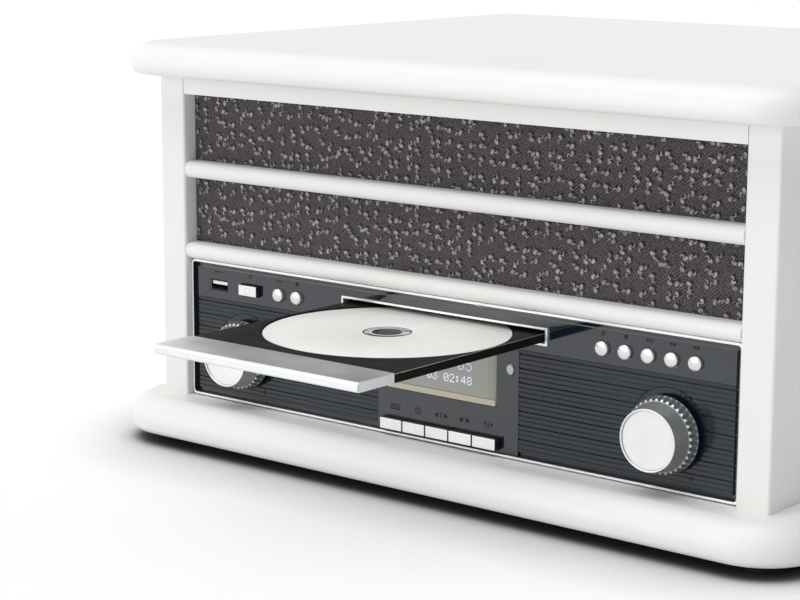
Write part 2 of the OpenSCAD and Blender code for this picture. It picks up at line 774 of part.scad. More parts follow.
module usb_socket() color("silver") placed() translate([-usb_x, panel_y + 0.2, button_z]) {
    difference() {
        block(-usb_w / 2, usb_w / 2, 0, usb_len, -usb_h / 2, usb_h / 2);
        block(-usb_w / 2 + usb_wall, usb_w / 2 - usb_wall, -past, usb_len - 1,
            -usb_h / 2 + usb_wall, usb_h / 2 - usb_wall);
    }
    block(-5.5, 5.5, 1, usb_len - 1, 0.2, 2);
}

// Main board on spacers with its heat sink, and the mains transformer beside it
module main_board() color("darkgreen") placed() {
    plate_z = floor_z + pcb_up;
    pcb_y0 = room_back - 4 - pcb_d;
    block(pcb_x0, pcb_x0 + pcb_w, pcb_y0, pcb_y0 + pcb_d, plate_z, plate_z + board_t);
    for (x = [pcb_x0 + pcb_inset, pcb_x0 + pcb_w - pcb_inset],
        y = [pcb_y0 + pcb_inset, pcb_y0 + pcb_d - pcb_inset])
        translate([x, y, floor_z]) cylinder(r = 4, h = pcb_up);
    translate([pcb_x0 + pcb_w - heat_sink_w / 2 - 20, pcb_y0 + pcb_d / 2, plate_z + board_t]) {
        block(-heat_sink_w / 2, heat_sink_w / 2, 0, 3, 0, heat_sink_h);
        for (i = [-3:3]) block(i * heat_sink_w / 6.25 - 1, i * heat_sink_w / 6.25 + 1, 3, 16,
            0, heat_sink_h);
    }
    for (i = [0, 1]) translate([pcb_x0 + 25 + 22 * i, pcb_y0 + 40, plate_z + board_t])
        cylinder(r = 8, h = 24);
    transformer();
}

// Laminated core with its two windings
module transformer() translate([mains_coil_x, room_back - 75, floor_z]) {
    core_w = 52;
    core_d = 36;
    core_h = 44;
    coil_w = 32;
    coil_d = 54;
    coil_h = 30;
    block(-core_w / 2, core_w / 2, -core_d / 2, core_d / 2, 0, core_h);
    block(-coil_w / 2, coil_w / 2, -coil_d / 2, coil_d / 2,
        (core_h - coil_h) / 2, (core_h + coil_h) / 2);
}

// Rails, floor and pillars of the disc loader
module loader_frame() color("dimgray") placed() {
    inner_x = tray_w / 2 + move_gap;
    rail_top = tray_top + 2.2;
    difference() {
        union() {
            block(-loader_x, loader_x, loader_y, loader_end, base_z, loader_z);
            both_sides() {
                block(inner_x - 7, loader_x, loader_y, loader_end, loader_z, tray_z - move_gap);
                block(inner_x, loader_x, loader_y, loader_end, tray_z - move_gap, rail_top);
                block(inner_x - 2.5, inner_x, loader_y + tray_front_d, loader_end,
                    rail_top - 1.4, rail_top);
            }
        }
        block(-48, 48, loader_y + 30, loader_end - 18, base_z - past, loader_z + past);
        block(rack_x - rack_w / 2 - 1, rack_x + rack_w / 2 + 3, pinion_y - pinion_r - 2,
            pinion_y + pinion_r + 2, base_z - past, tray_z);
    }
    for (x = [-loader_x + 6, loader_x - 6], y = [loader_y + 50, loader_end - 10])
        translate([x, y, floor_z]) cylinder(r = 4.5, h = base_z - floor_z);
}

// Geared motor that turns the pinion
module loading_motor() color("silver") placed() difference() {
    union() {
        block(rack_x + 5, rack_x + 23, pinion_y - 9, pinion_y + 9, pinion_z - 10, base_z);
        translate([rack_x + 23, pinion_y, base_z - 8]) rotate([0, 90, 0]) cylinder(r = 8, h = 24);
    }
    translate([rack_x + 4, pinion_y, pinion_z]) rotate([0, 90, 0])
        cylinder(r = pinion_shaft_r + shaft_gap, h = 14);
}

// Disc motor with its hub, the lens sled and its two rods on a hanging plate
module disc_drive() color("gray") placed() translate([0, disc_y + tray_travel, 0]) {
    plate_z = base_z - 9;
    plate_x = 52;
    plate_y0 = -38;
    plate_y1 = 72;
    block(-plate_x, plate_x, plate_y0, plate_y1, plate_z, plate_z + 1.5);
    for (x = [2.5 - plate_x, plate_x - 2.5], y = [plate_y0 + 8, plate_y1 - 8])
        translate([x, y, plate_z + 1.5]) cylinder(r = 2, h = base_z - plate_z - 1.5);
    translate([0, 0, plate_z + 1.5]) cylinder(r = 12, h = 6);
    translate([0, 0, plate_z + 7.5]) cylinder(r = 14, h = tray_z - 1 - plate_z - 7.5);
    both_sides() block(19, 23, 15, 65, plate_z + 1.5, plate_z + 7);
    for (y = [15, 62]) block(-20, 20, y, y + 3, plate_z + 1.5, plate_z + 7);
    both_sides() translate([14, 16, plate_z + 4.5]) rotate([-90, 0, 0]) cylinder(r = 1.2, h = 48);
    difference() {
        block(-17, 17, 28, 46, plate_z + 2, plate_z + 10);
        both_sides() translate([14, 15, plate_z + 4.5]) rotate([-90, 0, 0]) cylinder(r = 1.3, h = 46);
    }
    translate([0, 37, plate_z + 10]) cylinder(r = 3, h = 1.2);
}

// A socket with its square base inside the back panel and a round hole in its end
module round_socket(x, r, collar, hole_r, hole_depth) {
    end = jack_seat + back_t + jack_out;
    translate([x, room_back - jack_seat, socket_z]) rotate([-90, 0, 0]) difference() {
        union() {
            translate([-jack_base / 2, -jack_base / 2, 0])
                cube([jack_base, jack_base, jack_seat - 2 * seat_gap]);
            cylinder(r = r + collar, h = jack_seat + back_t);
            cylinder(r = r, h = end);
        }
        translate([0, 0, end - hole_depth]) cylinder(r = hole_r, h = hole_depth + past);
    }
}

// Line-out jacks, an aerial socket and a two-pin mains inlet
module rear_sockets() color("black") placed() {
    for (i = [0, 1])
        round_socket(jack_x + i * jack_pitch, jack_r, 1.4, 1.7, 9);
    round_socket(aerial_x, aerial_r, 0, 1.2, 8);
    shell_w = inlet_w / 2 - seat_gap;
    shell_h = inlet_h / 2 - seat_gap;
    translate([inlet_x, 0, socket_z]) {
        difference() {
            block(-shell_w, shell_w, room_back - 14, body_d + 1, -shell_h, shell_h);
            block(-inlet_mouth_w / 2, inlet_mouth_w / 2, room_back - 8, body_d + 2,
                -inlet_mouth_h / 2, inlet_mouth_h / 2);
        }
        both_sides() translate([inlet_mouth_w / 4 - 0.2, room_back - 9, 0]) rotate([-90, 0, 0])
            cylinder(r = 1.2, h = 9);
    }
}

// One hinge knuckle with its flat leaf going up or down
module knuckle_leaf(x, len, leaf_h, up) {
    translate([x, hinge_y, hinge_z]) rotate([0, 90, 0])
        tube(barrel_r, hinge_pin_r + shaft_gap, len);
    z0 = up ? hinge_z : hinge_z - leaf_h;
    difference() {
        block(x, x + len, body_d, body_d + leaf_t, z0, z0 + leaf_h);
        translate([x - past, hinge_y, hinge_z]) rotate([0, 90, 0])
            cylinder(r = barrel_r - 0.2, h = len + 2 * past);
    }
}

// Cabinet halves of the two hinges, their pins, and the stay's bracket on the right wall
module cabinet_hinge_parts() color("silver") placed() {
    both_sides() {
        for (x = [hinge_x, hinge_x + 2 * (knuckle + move_gap)])
            knuckle_leaf(x, knuckle, body_leaf_h, false);
        block(hinge_x, hinge_x + 3 * knuckle + 2 * move_gap, body_d, body_d + leaf_t,
            hinge_z - body_leaf_h, hinge_z - barrel_r - 1);
        translate([hinge_x, hinge_y, hinge_z]) rotate([0, 90, 0])
            cylinder(r = hinge_pin_r, h = 3 * knuckle + 2 * move_gap);
    }
    block(room_x - 1.6, room_x, stay_y - 12, stay_y + 12, stay_z - 7, stay_z + 7);
    translate([stay_x - 2, stay_y, stay_z]) rotate([0, 90, 0])
        cylinder(r = stay_pin_r, h = room_x - 1.6 - stay_x + 2);
    translate([stay_x - 2, stay_y, stay_z]) rotate([0, 90, 0]) cylinder(r = 3.5, h = 1.7);
}

// Lid halves of the hinges, and the block that the stay's tip meets
module lid_hinge_parts() color("silver") placed() {
    both_sides() knuckle_leaf(hinge_x + knuckle + move_gap, knuckle, lid_leaf_h, true);
    translate([room_x - catch_w - 1.7, hinge_y - catch_reach - catch_d / 2, lid_z + move_gap])
        cube([catch_w, catch_d, lid_hollow - move_gap]);
}

// Thick board with a shallow hollow over the record deck
module lid() color("whitesmoke") placed() translate([0, 0, lid_z]) difference() {
    edged_board(body_x + lid_side, -lid_front, body_d, lid_t,
        lid_corner_r, lid_top_r, lid_bottom_r);
    block(-room_x + 1.5, room_x - 1.5, post_d + 2, room_back - 2, -past, lid_hollow);
}

// Flat steel bar that props the lid
module lid_stay() color("silver") placed()
    translate([stay_x, stay_y, stay_z]) rotate([0, 90, 0]) difference() {
        union() {
            cylinder(r = stay_end_r, h = stay_t);
            translate([0, -stay_len, 0]) cylinder(r = stay_end_r, h = stay_t);
            translate([-stay_end_r + 0.5, -stay_len, 0])
                cube([2 * stay_end_r - 1, stay_len, stay_t]);
        }
        translate([0, 0, -past]) cylinder(r = stay_pin_r + shaft_gap, h = stay_t + 2 * past);
    }

// Platter: hub, flat web, belt ring below and a rounded outer rim
module platter() color("dimgray") placed() translate([platter_x, platter_y, 0])
    rotate_extrude($fn = 180) polygon([
        [journal_r + 0.02, platter_z], [11, platter_z], [11, web_z],
        [belt_ring_r - 3, web_z], [belt_ring_r - 3, platter_z + 0.8],
        [belt_ring_r, platter_z + 0.8], [belt_ring_r, web_z],
        [platter_r - 4, web_z], [platter_r - 4, platter_z],
        [platter_r - 1, platter_z], [platter_r, platter_z + 1],
        [platter_r, platter_top - 1.5], [platter_r - 1.5, platter_top],
        [journal_r + 0.02, platter_top]]);

// Steel spindle that runs in the bearing and takes the record's hole
module platter_spindle() color("silver") placed() translate([platter_x, platter_y, 0])
    rotate_extrude() polygon([[0, bearing_z + 3.3], [journal_r, bearing_z + 3.3],
        [journal_r, mat_top], [spindle_r, mat_top], [spindle_r, spindle_top - 3],
        [spindle_r - 0.6, spindle_top - 1.2], [spindle_r - 1.8, spindle_top - 0.2],
        [0, spindle_top]]);

// Rubber mat with ring grooves
module platter_mat() color("black") placed() translate([platter_x, platter_y, platter_top])
    difference() {
        cylinder(r = platter_r - 2, h = mat_t, $fn = 180);
        translate([0, 0, -past]) cylinder(r = spindle_r + 0.5, h = mat_t + 2 * past);
        for (r = [20, 44, 48, 52, 72, 76, 80]) translate([0, 0, mat_t - 0.6])
            tube(r + 1, r, 2, $fn = 96);
    }

// Flanged pulley on the motor's shaft
module motor_pulley() color("goldenrod") placed() translate([motor_x, motor_y, 0])
    rotate_extrude() polygon([
        [0, deck_z - deck_t - 13], [motor_shaft_r, deck_z - deck_t - 13],
        [motor_shaft_r, belt_z - 1], [pulley_r + 1.2, belt_z - 1],
        [pulley_r + 1.2, belt_z - 0.4], [pulley_r, belt_z - 0.2],
        [pulley_r, belt_z + belt_h + 0.2], [pulley_r + 1.2, belt_z + belt_h + 0.4],
        [pulley_r + 1.2, web_z - 0.4], [0, web_z - 0.4]]);

// Turret that swings on the pedestal and holds the arm between two ears
module arm_yoke() color("silver") placed() translate([arm_x, arm_y, 0]) {
    difference() {
        union() {
            translate([0, 0, deck_z + 1.3]) cylinder(r = turret_shaft_r, h = 8);
            translate([0, 0, turret_z]) cylinder(r = turret_r, h = 3);
            both_sides() block(ear_gap / 2, ear_gap / 2 + ear_t, -4.5, 4.5, turret_z, arm_z + 4);
        }
        translate([-turret_r - past, 0, arm_z]) rotate([0, 90, 0])
            cylinder(r = arm_pin_r + shaft_gap, h = 2 * turret_r + 2 * past);
    }
}

// Arm tube with its pivot block, cross pin and counterweight
module tonearm() color("silver") placed() translate([arm_x, arm_y, arm_z]) {
    head = 24;
    rotate([90, 0, 0]) translate([0, 0, -24]) difference() {
        cylinder(r = arm_r, h = arm_len - head + 24);
        translate([0, 0, 34]) cylinder(r = arm_r - 0.7, h = arm_len);
    }
    block(-ear_gap / 2 + 0.6, ear_gap / 2 - 0.6, -7, 7, -4.4, 4.4);
    translate([-ear_gap / 2 - ear_t, 0, 0]) rotate([0, 90, 0])
        cylinder(r = arm_pin_r, h = ear_gap + 2 * ear_t);
    translate([0, 22, 0]) rotate([-90, 0, 0]) rotate_extrude()
        polygon([[0, 0], [8, 0], [9.4, 1.4], [9.4, 14.6], [8, 16], [0, 16]]);
}

// Head shell, cartridge and stylus at the arm's front end
module headshell() color("black") placed() translate([arm_x, arm_y - arm_len, arm_z]) {
    difference() {
        translate([0, 0, -1.5]) linear_extrude(4.5) polygon([[-5, -9], [5, -9], [9, -4],
            [9, 18], [5.2, 24], [-5.2, 24], [-9, 18], [-9, -4]]);
        rotate([90, 0, 0]) translate([0, 0, -30]) cylinder(r = arm_r + 0.02, h = 12);
    }
    block(-7, 7, -3, 15, -4.2, -1.5);
    translate([0, 0, -5.3]) cylinder(r1 = 0.3, r2 = 1.2, h = 1.2, $fn = 24);
    block(9, 17, 2, 4, -0.5, 0.8);
}

module cue_lever() color("silver") placed() translate([cue_x, cue_y, cue_z]) {
    rotate([0, 90, 0]) translate([0, 0, -6]) cylinder(r = 1.5, h = 12);
    rotate([0, 90, 0]) translate([0, 0, -2]) cylinder(r = 3.2, h = 4);
    translate([-1.5, 6 - cue_len, 0.5]) cube([3, cue_len - 7, 2]);
    translate([-3.5, -cue_len, 0.5]) cube([7, 7, 2]);
}

// Speed selector: a pointer knob on a shaft through the deck
module speed_lever() color("silver") placed() translate([speed_x, speed_y, 0]) {
    translate([0, 0, deck_z - 8]) cylinder(r = 3, h = 8 + move_gap);
    translate([0, 0, deck_z + move_gap]) rotate_extrude()
        polygon([[0, 0], [8.5, 0], [8, 5], [7, 6.5], [0, 6.5]]);
    block(-1.8, 1.8, 4, 13, deck_z + 1.5, deck_z + 5.5);
}

// Drawer: a stepped disc pocket, a window for the hub and lens, and a toothed rack
module cd_tray() color("black") placed() difference() {
    block(-tray_w / 2, tray_w / 2, tray_y, tray_end, tray_z, tray_top);
    translate([0, disc_y, pocket_z]) cylinder(r = pocket_r, h = tray_t, $fn = 144);
    translate([0, disc_y, pocket_z - 0.5]) cylinder(r = 40.6, h = tray_t, $fn = 96);
    translate([0, disc_y, tray_z - past]) cylinder(r = 19, h = tray_t + past);
    block(-19, 19, disc_y, disc_y + 44, tray_z - past, tray_top);
    rack_gaps();
}

// Spaces between the rack's teeth, cut into the drawer from below
module rack_gaps() {
    slope = tan(pressure_angle);
    first = pinion_y - tray_travel - 3 * tooth_pitch;
    count = floor((tray_travel + 6.5 * tooth_pitch) / tooth_pitch);
    root = tooth_pitch / 4 + tooth_play / 2 - slope * tooth_down;
    tip = tooth_pitch / 4 + tooth_play / 2 + slope * (tooth_up + 0.05);
    shift = (pinion_y - first) % tooth_pitch;
    for (i = [0:count])
        translate([rack_x - rack_w / 2, first + shift + i * tooth_pitch, rack_line_z])
            rotate([90, 0, 90]) linear_extrude(rack_w)
            polygon([[-tip, -tooth_up - 0.05], [tip, -tooth_up - 0.05],
                [root, tooth_down], [-root, tooth_down]]);
}

// Metal front piece of the drawer
module tray_front() color("silver") placed() {
    lower = tray_z - 0.1;
    upper = tray_top + 0.5;
    translate([-tray_w / 2, 0, 0]) rotate([90, 0, 90]) linear_extrude(tray_w)
        polygon([[tray_front_y + 0.6, lower], [tray_y, lower], [tray_y, upper],
            [tray_front_y + 0.8, upper], [tray_front_y, upper - 0.8], [tray_front_y, lower + 0.6]]);
}

module compact_disc() color("whitesmoke") placed() translate([0, disc_y, disc_z])
    tube(disc_r, disc_hole_r, disc_t, $fn = 144);

// Involute gear outline: points up one flank and down the next for each tooth
function involute(base, t) = [base * (cos(t) + t * PI / 180 * sin(t)),
    base * (sin(t) - t * PI / 180 * cos(t))];
function turned(p, a) = [p[0] * cos(a) - p[1] * sin(a), p[0] * sin(a) + p[1] * cos(a)];
function gear_points(teeth, m, play) =
    let (pitch_r = m * teeth / 2, base = pitch_r * cos(pressure_angle),
        tip_r = pitch_r + m, root_r = pitch_r - 1.25 * m, steps = 5,
        start_t = 0, end_t = sqrt(pow(tip_r / base, 2) - 1) * 180 / PI,
        pitch_t = sqrt(pow(pitch_r / base, 2) - 1) * 180 / PI,
        lead = pitch_t - atan(pitch_t * PI / 180),
        half = 90 / teeth - play / pitch_r * 45 / PI + lead)
    [for (k = [0:teeth - 1]) each concat(
        [turned([root_r, 0], k * 360 / teeth - half)],
        [for (i = [0:steps]) turned(involute(base, start_t + (end_t - start_t) * i / steps),
            k * 360 / teeth - half)],
        [for (i = [steps:-1:0]) let (p = involute(base, start_t + (end_t - start_t) * i / steps))
            turned([p[0], -p[1]], k * 360 / teeth + half)],
        [turned([root_r, 0], k * 360 / teeth + half)])];

module loading_pinion() color("ivory") placed() translate([rack_x, pinion_y, pinion_z]) {
    translate([-rack_w / 2 + 0.3, 0, 0]) rotate([90, 0, 90]) linear_extrude(rack_w - 0.6)
        polygon([for (p = gear_points(pinion_teeth, gear_module, tooth_play)) turned(p, 90)]);
    translate([-rack_w / 2 + 0.3, 0, 0]) rotate([0, 90, 0])
        cylinder(r = pinion_shaft_r, h = rack_w / 2 + 15);
    rotate([0, 90, 0]) cylinder(r = 3, h = 4.5);
}

// Knob: a fluted skirt that narrows to a smooth barrel, with a rimmed flat face
module knob() {
    rim = 1.2;
    inner_r = knob_face_r - 0.4 - rim;
    flute_in = knob_waist_r + 0.15;
    intersection() {
        rotate_extrude($fn = 96) polygon([[0, 0], [knob_skirt_r - 0.4, 0], [knob_skirt_r, 0.6],
            [knob_waist_r, knob_skirt_len], [knob_face_r, knob_len - 0.5],
            [knob_face_r - 0.4, knob_len], [inner_r, knob_len],
            [inner_r - 0.3, knob_len - 0.8], [0, knob_len - 0.8]]);
        linear_extrude(knob_len) polygon([for (i = [0:flutes - 1]) each [
            turned([flute_in, 0], (i - 0.22) * 360 / flutes),
            turned([flute_in, 0], (i + 0.22) * 360 / flutes),
            turned([knob_skirt_r + 0.2, 0], (i + 0.36) * 360 / flutes),
            turned([knob_skirt_r + 0.2, 0], (i + 0.64) * 360 / flutes)]]);
    }
    translate([0, 0, knob_back_y - board_y + 1.5])
        cylinder(r = 3, h = board_y - knob_back_y);
}

module volume_knob() color("silver") placed() facing(-knob_x, knob_back_y, knob_z) knob();

module tuning_knob() color("silver") placed() facing(knob_x, knob_back_y, knob_z) knob();

// Round button: a domed cap, a retaining flange behind the panel and a stem
module round_button(x) {
    cap_y = panel_y - button_out + 1;
    facing(x, 0, button_z) rotate_extrude() polygon(concat(
        [[0, -stem_y], [1.5, -stem_y], [1.5, -flange_y - flange_t], [button_r + 1, -flange_y - flange_t],
            [button_r + 1, -flange_y], [button_r, -flange_y]],
        [for (a = [0:15:90]) [button_r * cos(a), -cap_y + sin(a)]]));
}

// Square button or key with a flange behind the panel and a stem
module square_button(x, z, w, h, out, lip) {
    chamfered_cap(x, z, w, h, panel_y - out, flange_y, 0.3);
    block(x - w / 2 - lip, x + w / 2 + lip, flange_y, flange_y + flange_t, z - h / 2 - 0.8, z + h / 2 + 0.8);
    block(x - 1.5, x + 1.5, flange_y + flange_t, stem_y, z - 1.5, z + 1.5);
}

module power_button() color("whitesmoke") placed()
    square_button(-power_x, button_z, power_w, power_h, 3, 0.8);
module function_button() color("silver") placed() round_button(-right_button_x(3));
module record_button() color("silver") placed() round_button(-right_button_x(4));
module eject_button() color("silver") placed() round_button(right_button_x(4));
module stop_button() color("silver") placed() round_button(right_button_x(3));
module play_button() color("silver") placed() round_button(right_button_x(2));
module back_button() color("silver") placed() round_button(right_button_x(1));
module forward_button() color("silver") placed() round_button(right_button_x(0));

module key(i) {
    square_button(key_x(i), key_z + key_h / 2, key_w, key_h, key_out, 0);
}

module menu_key() color("white") placed() key(0);
module info_key() color("white") placed() key(1);
module scan_key() color("white") placed() key(2);
module preset_key() color("white") placed() key(3);
module tone_key() color("white") placed() key(4);

feet();
plinth();
side_panels();
front_frame();
cloth_rails();
wood_battens();
back_panel();
grille_cloths();
baffle_board();
speaker_frames();
speaker_cones();
turntable_deck();
platter_bearing();
turntable_motor();
drive_belt();
arm_base();
control_panel();
ribbed_inlays();
panel_trim();
slot_trim();
front_lenses();
front_board();
usb_socket();
main_board();
loader_frame();
loading_motor();
disc_drive();
rear_sockets();
cabinet_hinge_parts();
lid();
lid_hinge_parts();
lid_stay();
platter();
platter_spindle();
platter_mat();
motor_pulley();
arm_yoke();
tonearm();
headshell();
cue_lever();
speed_lever();
cd_tray();
tray_front();
compact_disc();
loading_pinion();
volume_knob();
tuning_knob();
power_button();
function_button();
record_button();
eject_button();
stop_button();
play_button();
back_button();
forward_button();
menu_key();
info_key();
scan_key();
preset_key();
tone_key();
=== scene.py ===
"""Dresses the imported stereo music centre: lacquered boards, jacquard cloth over the speakers, a
glossy panel with display, keys and knobs, a disc drawer, and the record deck under the lid.
Each operator makes one group of like pieces, and the last one sets the stage and the camera."""

import json
import math

import bmesh
import bpy
from bpy.props import (FloatProperty, FloatVectorProperty, IntProperty, PointerProperty,
                       StringProperty)
from mathutils import Matrix, Vector

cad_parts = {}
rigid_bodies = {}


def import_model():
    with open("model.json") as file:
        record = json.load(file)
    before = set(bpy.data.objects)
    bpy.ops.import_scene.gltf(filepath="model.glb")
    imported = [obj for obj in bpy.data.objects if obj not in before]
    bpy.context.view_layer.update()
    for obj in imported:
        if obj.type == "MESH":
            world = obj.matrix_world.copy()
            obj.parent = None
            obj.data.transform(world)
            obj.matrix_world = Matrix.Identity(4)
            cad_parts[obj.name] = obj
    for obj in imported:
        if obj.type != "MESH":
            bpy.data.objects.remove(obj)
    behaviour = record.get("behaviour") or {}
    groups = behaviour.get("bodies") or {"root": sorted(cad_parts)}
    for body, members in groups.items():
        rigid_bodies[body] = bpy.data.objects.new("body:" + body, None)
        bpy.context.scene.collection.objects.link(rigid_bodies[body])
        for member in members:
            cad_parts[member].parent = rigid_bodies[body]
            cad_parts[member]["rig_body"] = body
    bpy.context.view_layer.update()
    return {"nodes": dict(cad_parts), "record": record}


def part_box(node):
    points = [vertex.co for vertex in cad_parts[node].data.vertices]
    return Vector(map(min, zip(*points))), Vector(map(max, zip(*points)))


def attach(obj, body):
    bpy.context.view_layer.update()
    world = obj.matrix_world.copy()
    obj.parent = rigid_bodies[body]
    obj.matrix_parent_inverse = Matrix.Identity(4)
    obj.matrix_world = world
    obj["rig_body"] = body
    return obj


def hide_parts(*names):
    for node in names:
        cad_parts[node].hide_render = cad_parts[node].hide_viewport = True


bl_info = {
    "name": "Stereo music centre",
    "version": (1, 0, 0),
    "blender": (4, 5, 0),
    "location": "View3D > Sidebar > Music centre",
    "description": "Makes the finishes and fine pieces of a stereo music centre on its frame",
    "category": "Object",
}

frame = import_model()
NODES = frame["nodes"]
SLOT_OF = {part["node"]: part["material_slot"] for part in frame["record"]["subparts"]}

MM = 0.001
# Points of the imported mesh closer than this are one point
WELD = 0.002 * MM
# Period of a wave texture whose scale is 1
WAVE = 0.314
# Noise seldom leaves this range
NOISE_RANGE = (0.3, 0.7)
# How far over a button or key its sign stands, and the size of the sign
BUTTON_SIGN = (7.2 * MM, 1.1 * MM)
KEY_SIGN = (8.5 * MM, 1.4 * MM)
# Buttons, from the left of the panel to the right
ROUND_BUTTONS = ("function_button", "record_button", "eject_button", "stop_button", "play_button",
                 "back_button", "forward_button")
KEYS = ("menu_key", "info_key", "scan_key", "preset_key", "tone_key")


def srgb(code):
    """The linear colour of an sRGB hex value."""
    parts = [int(code[i:i + 2], 16) / 255 for i in (1, 3, 5)]
    return (*(c / 12.92 if c <= 0.04045 else ((c + 0.055) / 1.055) ** 2.4 for c in parts), 1.0)


def colour_setting(name, description, code):
    """A colour that the panel offers, given as an sRGB hex value."""
    return FloatVectorProperty(name=name, description=description, subtype="COLOR", size=4,
                               min=0.0, max=1.0, default=srgb(code))


def length_setting(name, description, millimetres, low=0.0, high=100.0):
    """A length that the panel offers, with its limits, in millimetres."""
    return FloatProperty(name=name, description=description, subtype="DISTANCE", unit="LENGTH",
                         default=millimetres * MM, min=low * MM, max=high * MM, precision=5)


class CabinetLooks(bpy.types.PropertyGroup):
    """Lacquer and edges of the cabinet."""
    lacquer: colour_setting("Lacquer", "Colour of the sprayed lacquer", "#E7E7E5")
    edge: length_setting("Edge radius", "Softening of the boards' edges", 0.5, 0.05, 1.5)
    back: colour_setting("Back panel", "Colour of the painted back panel", "#D9D8D4")


class ClothLooks(bpy.types.PropertyGroup):
    """Speaker cloth."""
    ground: colour_setting("Ground", "Colour of the woven ground", "#3B3639")
    fleck: colour_setting("Fleck", "Colour of the curled yarn", "#BFBABB")
    # Painted shadow: the black beside each curl stands in for the shade that the curl casts
    curl_shadow: colour_setting("Float", "Colour of the black yarn beside each curl", "#050405")
    pitch: length_setting("Fleck pitch", "Distance between two curls", 6.6, 1.5, 10)
    curl: length_setting("Curl radius", "Radius of each half of a curl", 0.85, 0.2, 3)
    knot: length_setting("Knot radius", "Radius of the knot at a curl's end", 1.05, 0.2, 3)
    twill: length_setting("Twill pitch", "Distance between two diagonal lines", 1.35, 0.2, 3)


class PanelLooks(bpy.types.PropertyGroup):
    """Control panel, display and marks."""
    plastic: colour_setting("Panel", "Colour of the glossy moulded panel", "#0C1822")
    # The ink also paints the shade round the knobs' bosses
    ink: colour_setting("Ink", "Colour of the printed signs", "#1C2024")
    glass: colour_setting("Display", "Colour of the display behind its window", "#9A9A92")
    strip: colour_setting("Light strip", "Colour of the strip where the light enters", "#BDB6A2")
    digit: colour_setting("Digits", "Colour of the lit digits", "#DFE6FF")
    edge: length_setting("Edge radius", "Softening of the moulded edges", 0.15, 0.02, 0.5)
    time: StringProperty(name="Time", description="Digits on the display's upper line",
                         default="12:05")
    track: StringProperty(name="Track", description="Digits on the display's lower line",
                          default="03 02:48")


class KnobLooks(bpy.types.PropertyGroup):
    """Fluted knobs."""
    silver: colour_setting("Barrel", "Colour of the metallised barrel", "#9FA2A3")
    face: colour_setting("Face", "Colour of the flat front and its rim", "#E1E2E2")
    flutes: IntProperty(name="Flutes", description="Number of flutes round a knob", default=36,
                        min=20, max=80)
    rim: length_setting("Rim width", "Width of the raised ring round the face", 0.9, 0.4, 3)


class DeckLooks(bpy.types.PropertyGroup):
    """Record deck under the lid."""
    plastic: colour_setting("Deck", "Colour of the moulded deck plate", "#1D1D1F")
    dots: IntProperty(name="Strobe dots", description="Dots round the platter's rim", default=180,
                      min=60, max=300)
    dot: length_setting("Dot size", "Height of a strobe dot", 1.6, 0.5, 3)


class StageLooks(bpy.types.PropertyGroup):
    """Floor, light and camera."""
    floor: colour_setting("Floor", "Colour of the floor", "#FFFFFF")
    sky: FloatProperty(name="Sky", description="Strength of the even light from all round",
                       default=0.35, min=0.0, max=2.0)
    front: FloatProperty(name="Front light", default=1.25, min=0.0, max=10.0,
                         description="Watts per square metre from low on the front left")
    top: FloatProperty(name="Top light", default=1.9, min=0.0, max=10.0,
                       description="Watts per square metre from above")


def add(tree, kind, inputs=None, **settings):
    """Adds a node with its settings, and sets or links its inputs."""
    made = tree.nodes.new(kind)
    for name, value in settings.items():
        setattr(made, name, value)
    for key, value in (inputs or {}).items():
        if isinstance(value, bpy.types.NodeSocket):
            tree.links.new(value, made.inputs[key])
        else:
            made.inputs[key].default_value = value
    return made


def number(tree, operation, *values):
    """The result of a math node on one or two numbers."""
    return add(tree, "ShaderNodeMath", dict(enumerate(values)), operation=operation).outputs[0]


def vector(tree, operation, *values):
    """The result of a vector math node: a number for a length or distance, or else a vector."""
    made = add(tree, "ShaderNodeVectorMath", dict(enumerate(values)), operation=operation)
    return made.outputs["Value" if operation in ("LENGTH", "DISTANCE") else "Vector"]


def ranged(tree, value, low=0.0, high=1.0, to_low=0.0, to_high=1.0):
    """A value carried from one range to another, and held at its ends."""
    return add(tree, "ShaderNodeMapRange", {"Value": value, "From Min": low, "From Max": high,
                                            "To Min": to_low, "To Max": to_high}).outputs[0]


def mixed(tree, share, first, second, kind="RGBA"):
    """The first value where the share is 0 and the second where it is 1."""
    a, b, result = (6, 7, 2) if kind == "RGBA" else (2, 3, 0)
    made = add(tree, "ShaderNodeMix", {0: share, a: first, b: second}, data_type=kind)
    return made.outputs[result]


def noise(tree, place, scale, detail, **inputs):
    """Cloudy noise, mostly within NOISE_RANGE."""
    return add(tree, "ShaderNodeTexNoise", {"Vector": place, "Scale": scale, "Detail": detail,
                                            **inputs}).outputs["Fac"]


def bumped(tree, shader, height, depth):
    """Raises a finish by a height from 0 to 1 times a depth in millimetres."""
    bump = add(tree, "ShaderNodeBump", {"Height": height, "Distance": depth * MM})
    tree.links.new(bump.outputs[0], shader.inputs["Normal"])


def start_finish(name, colour, metallic, roughness, sockets):
    """A new material, its tree and shader, and the place on the piece in millimetres."""
    material = bpy.data.materials.new(name)
    material.use_nodes = True
    tree = material.node_tree
    shader = tree.nodes["Principled BSDF"]
    values = {"Base Color": colour, "Metallic": metallic, "Roughness": roughness, **(sockets or {})}
    for key, value in values.items():
        shader.inputs[key].default_value = value
    place = add(tree, "ShaderNodeTexCoord")
    point = add(tree, "ShaderNodeVectorMath", {0: place.outputs["Object"], "Scale": 1 / MM},
                operation="SCALE")
    return material, tree, shader, point.outputs["Vector"]


def tint(colour, factor):
    """The same colour, lighter above 1 and darker below."""
    return (*(min(1.0, c * factor) for c in colour[:3]), 1.0)


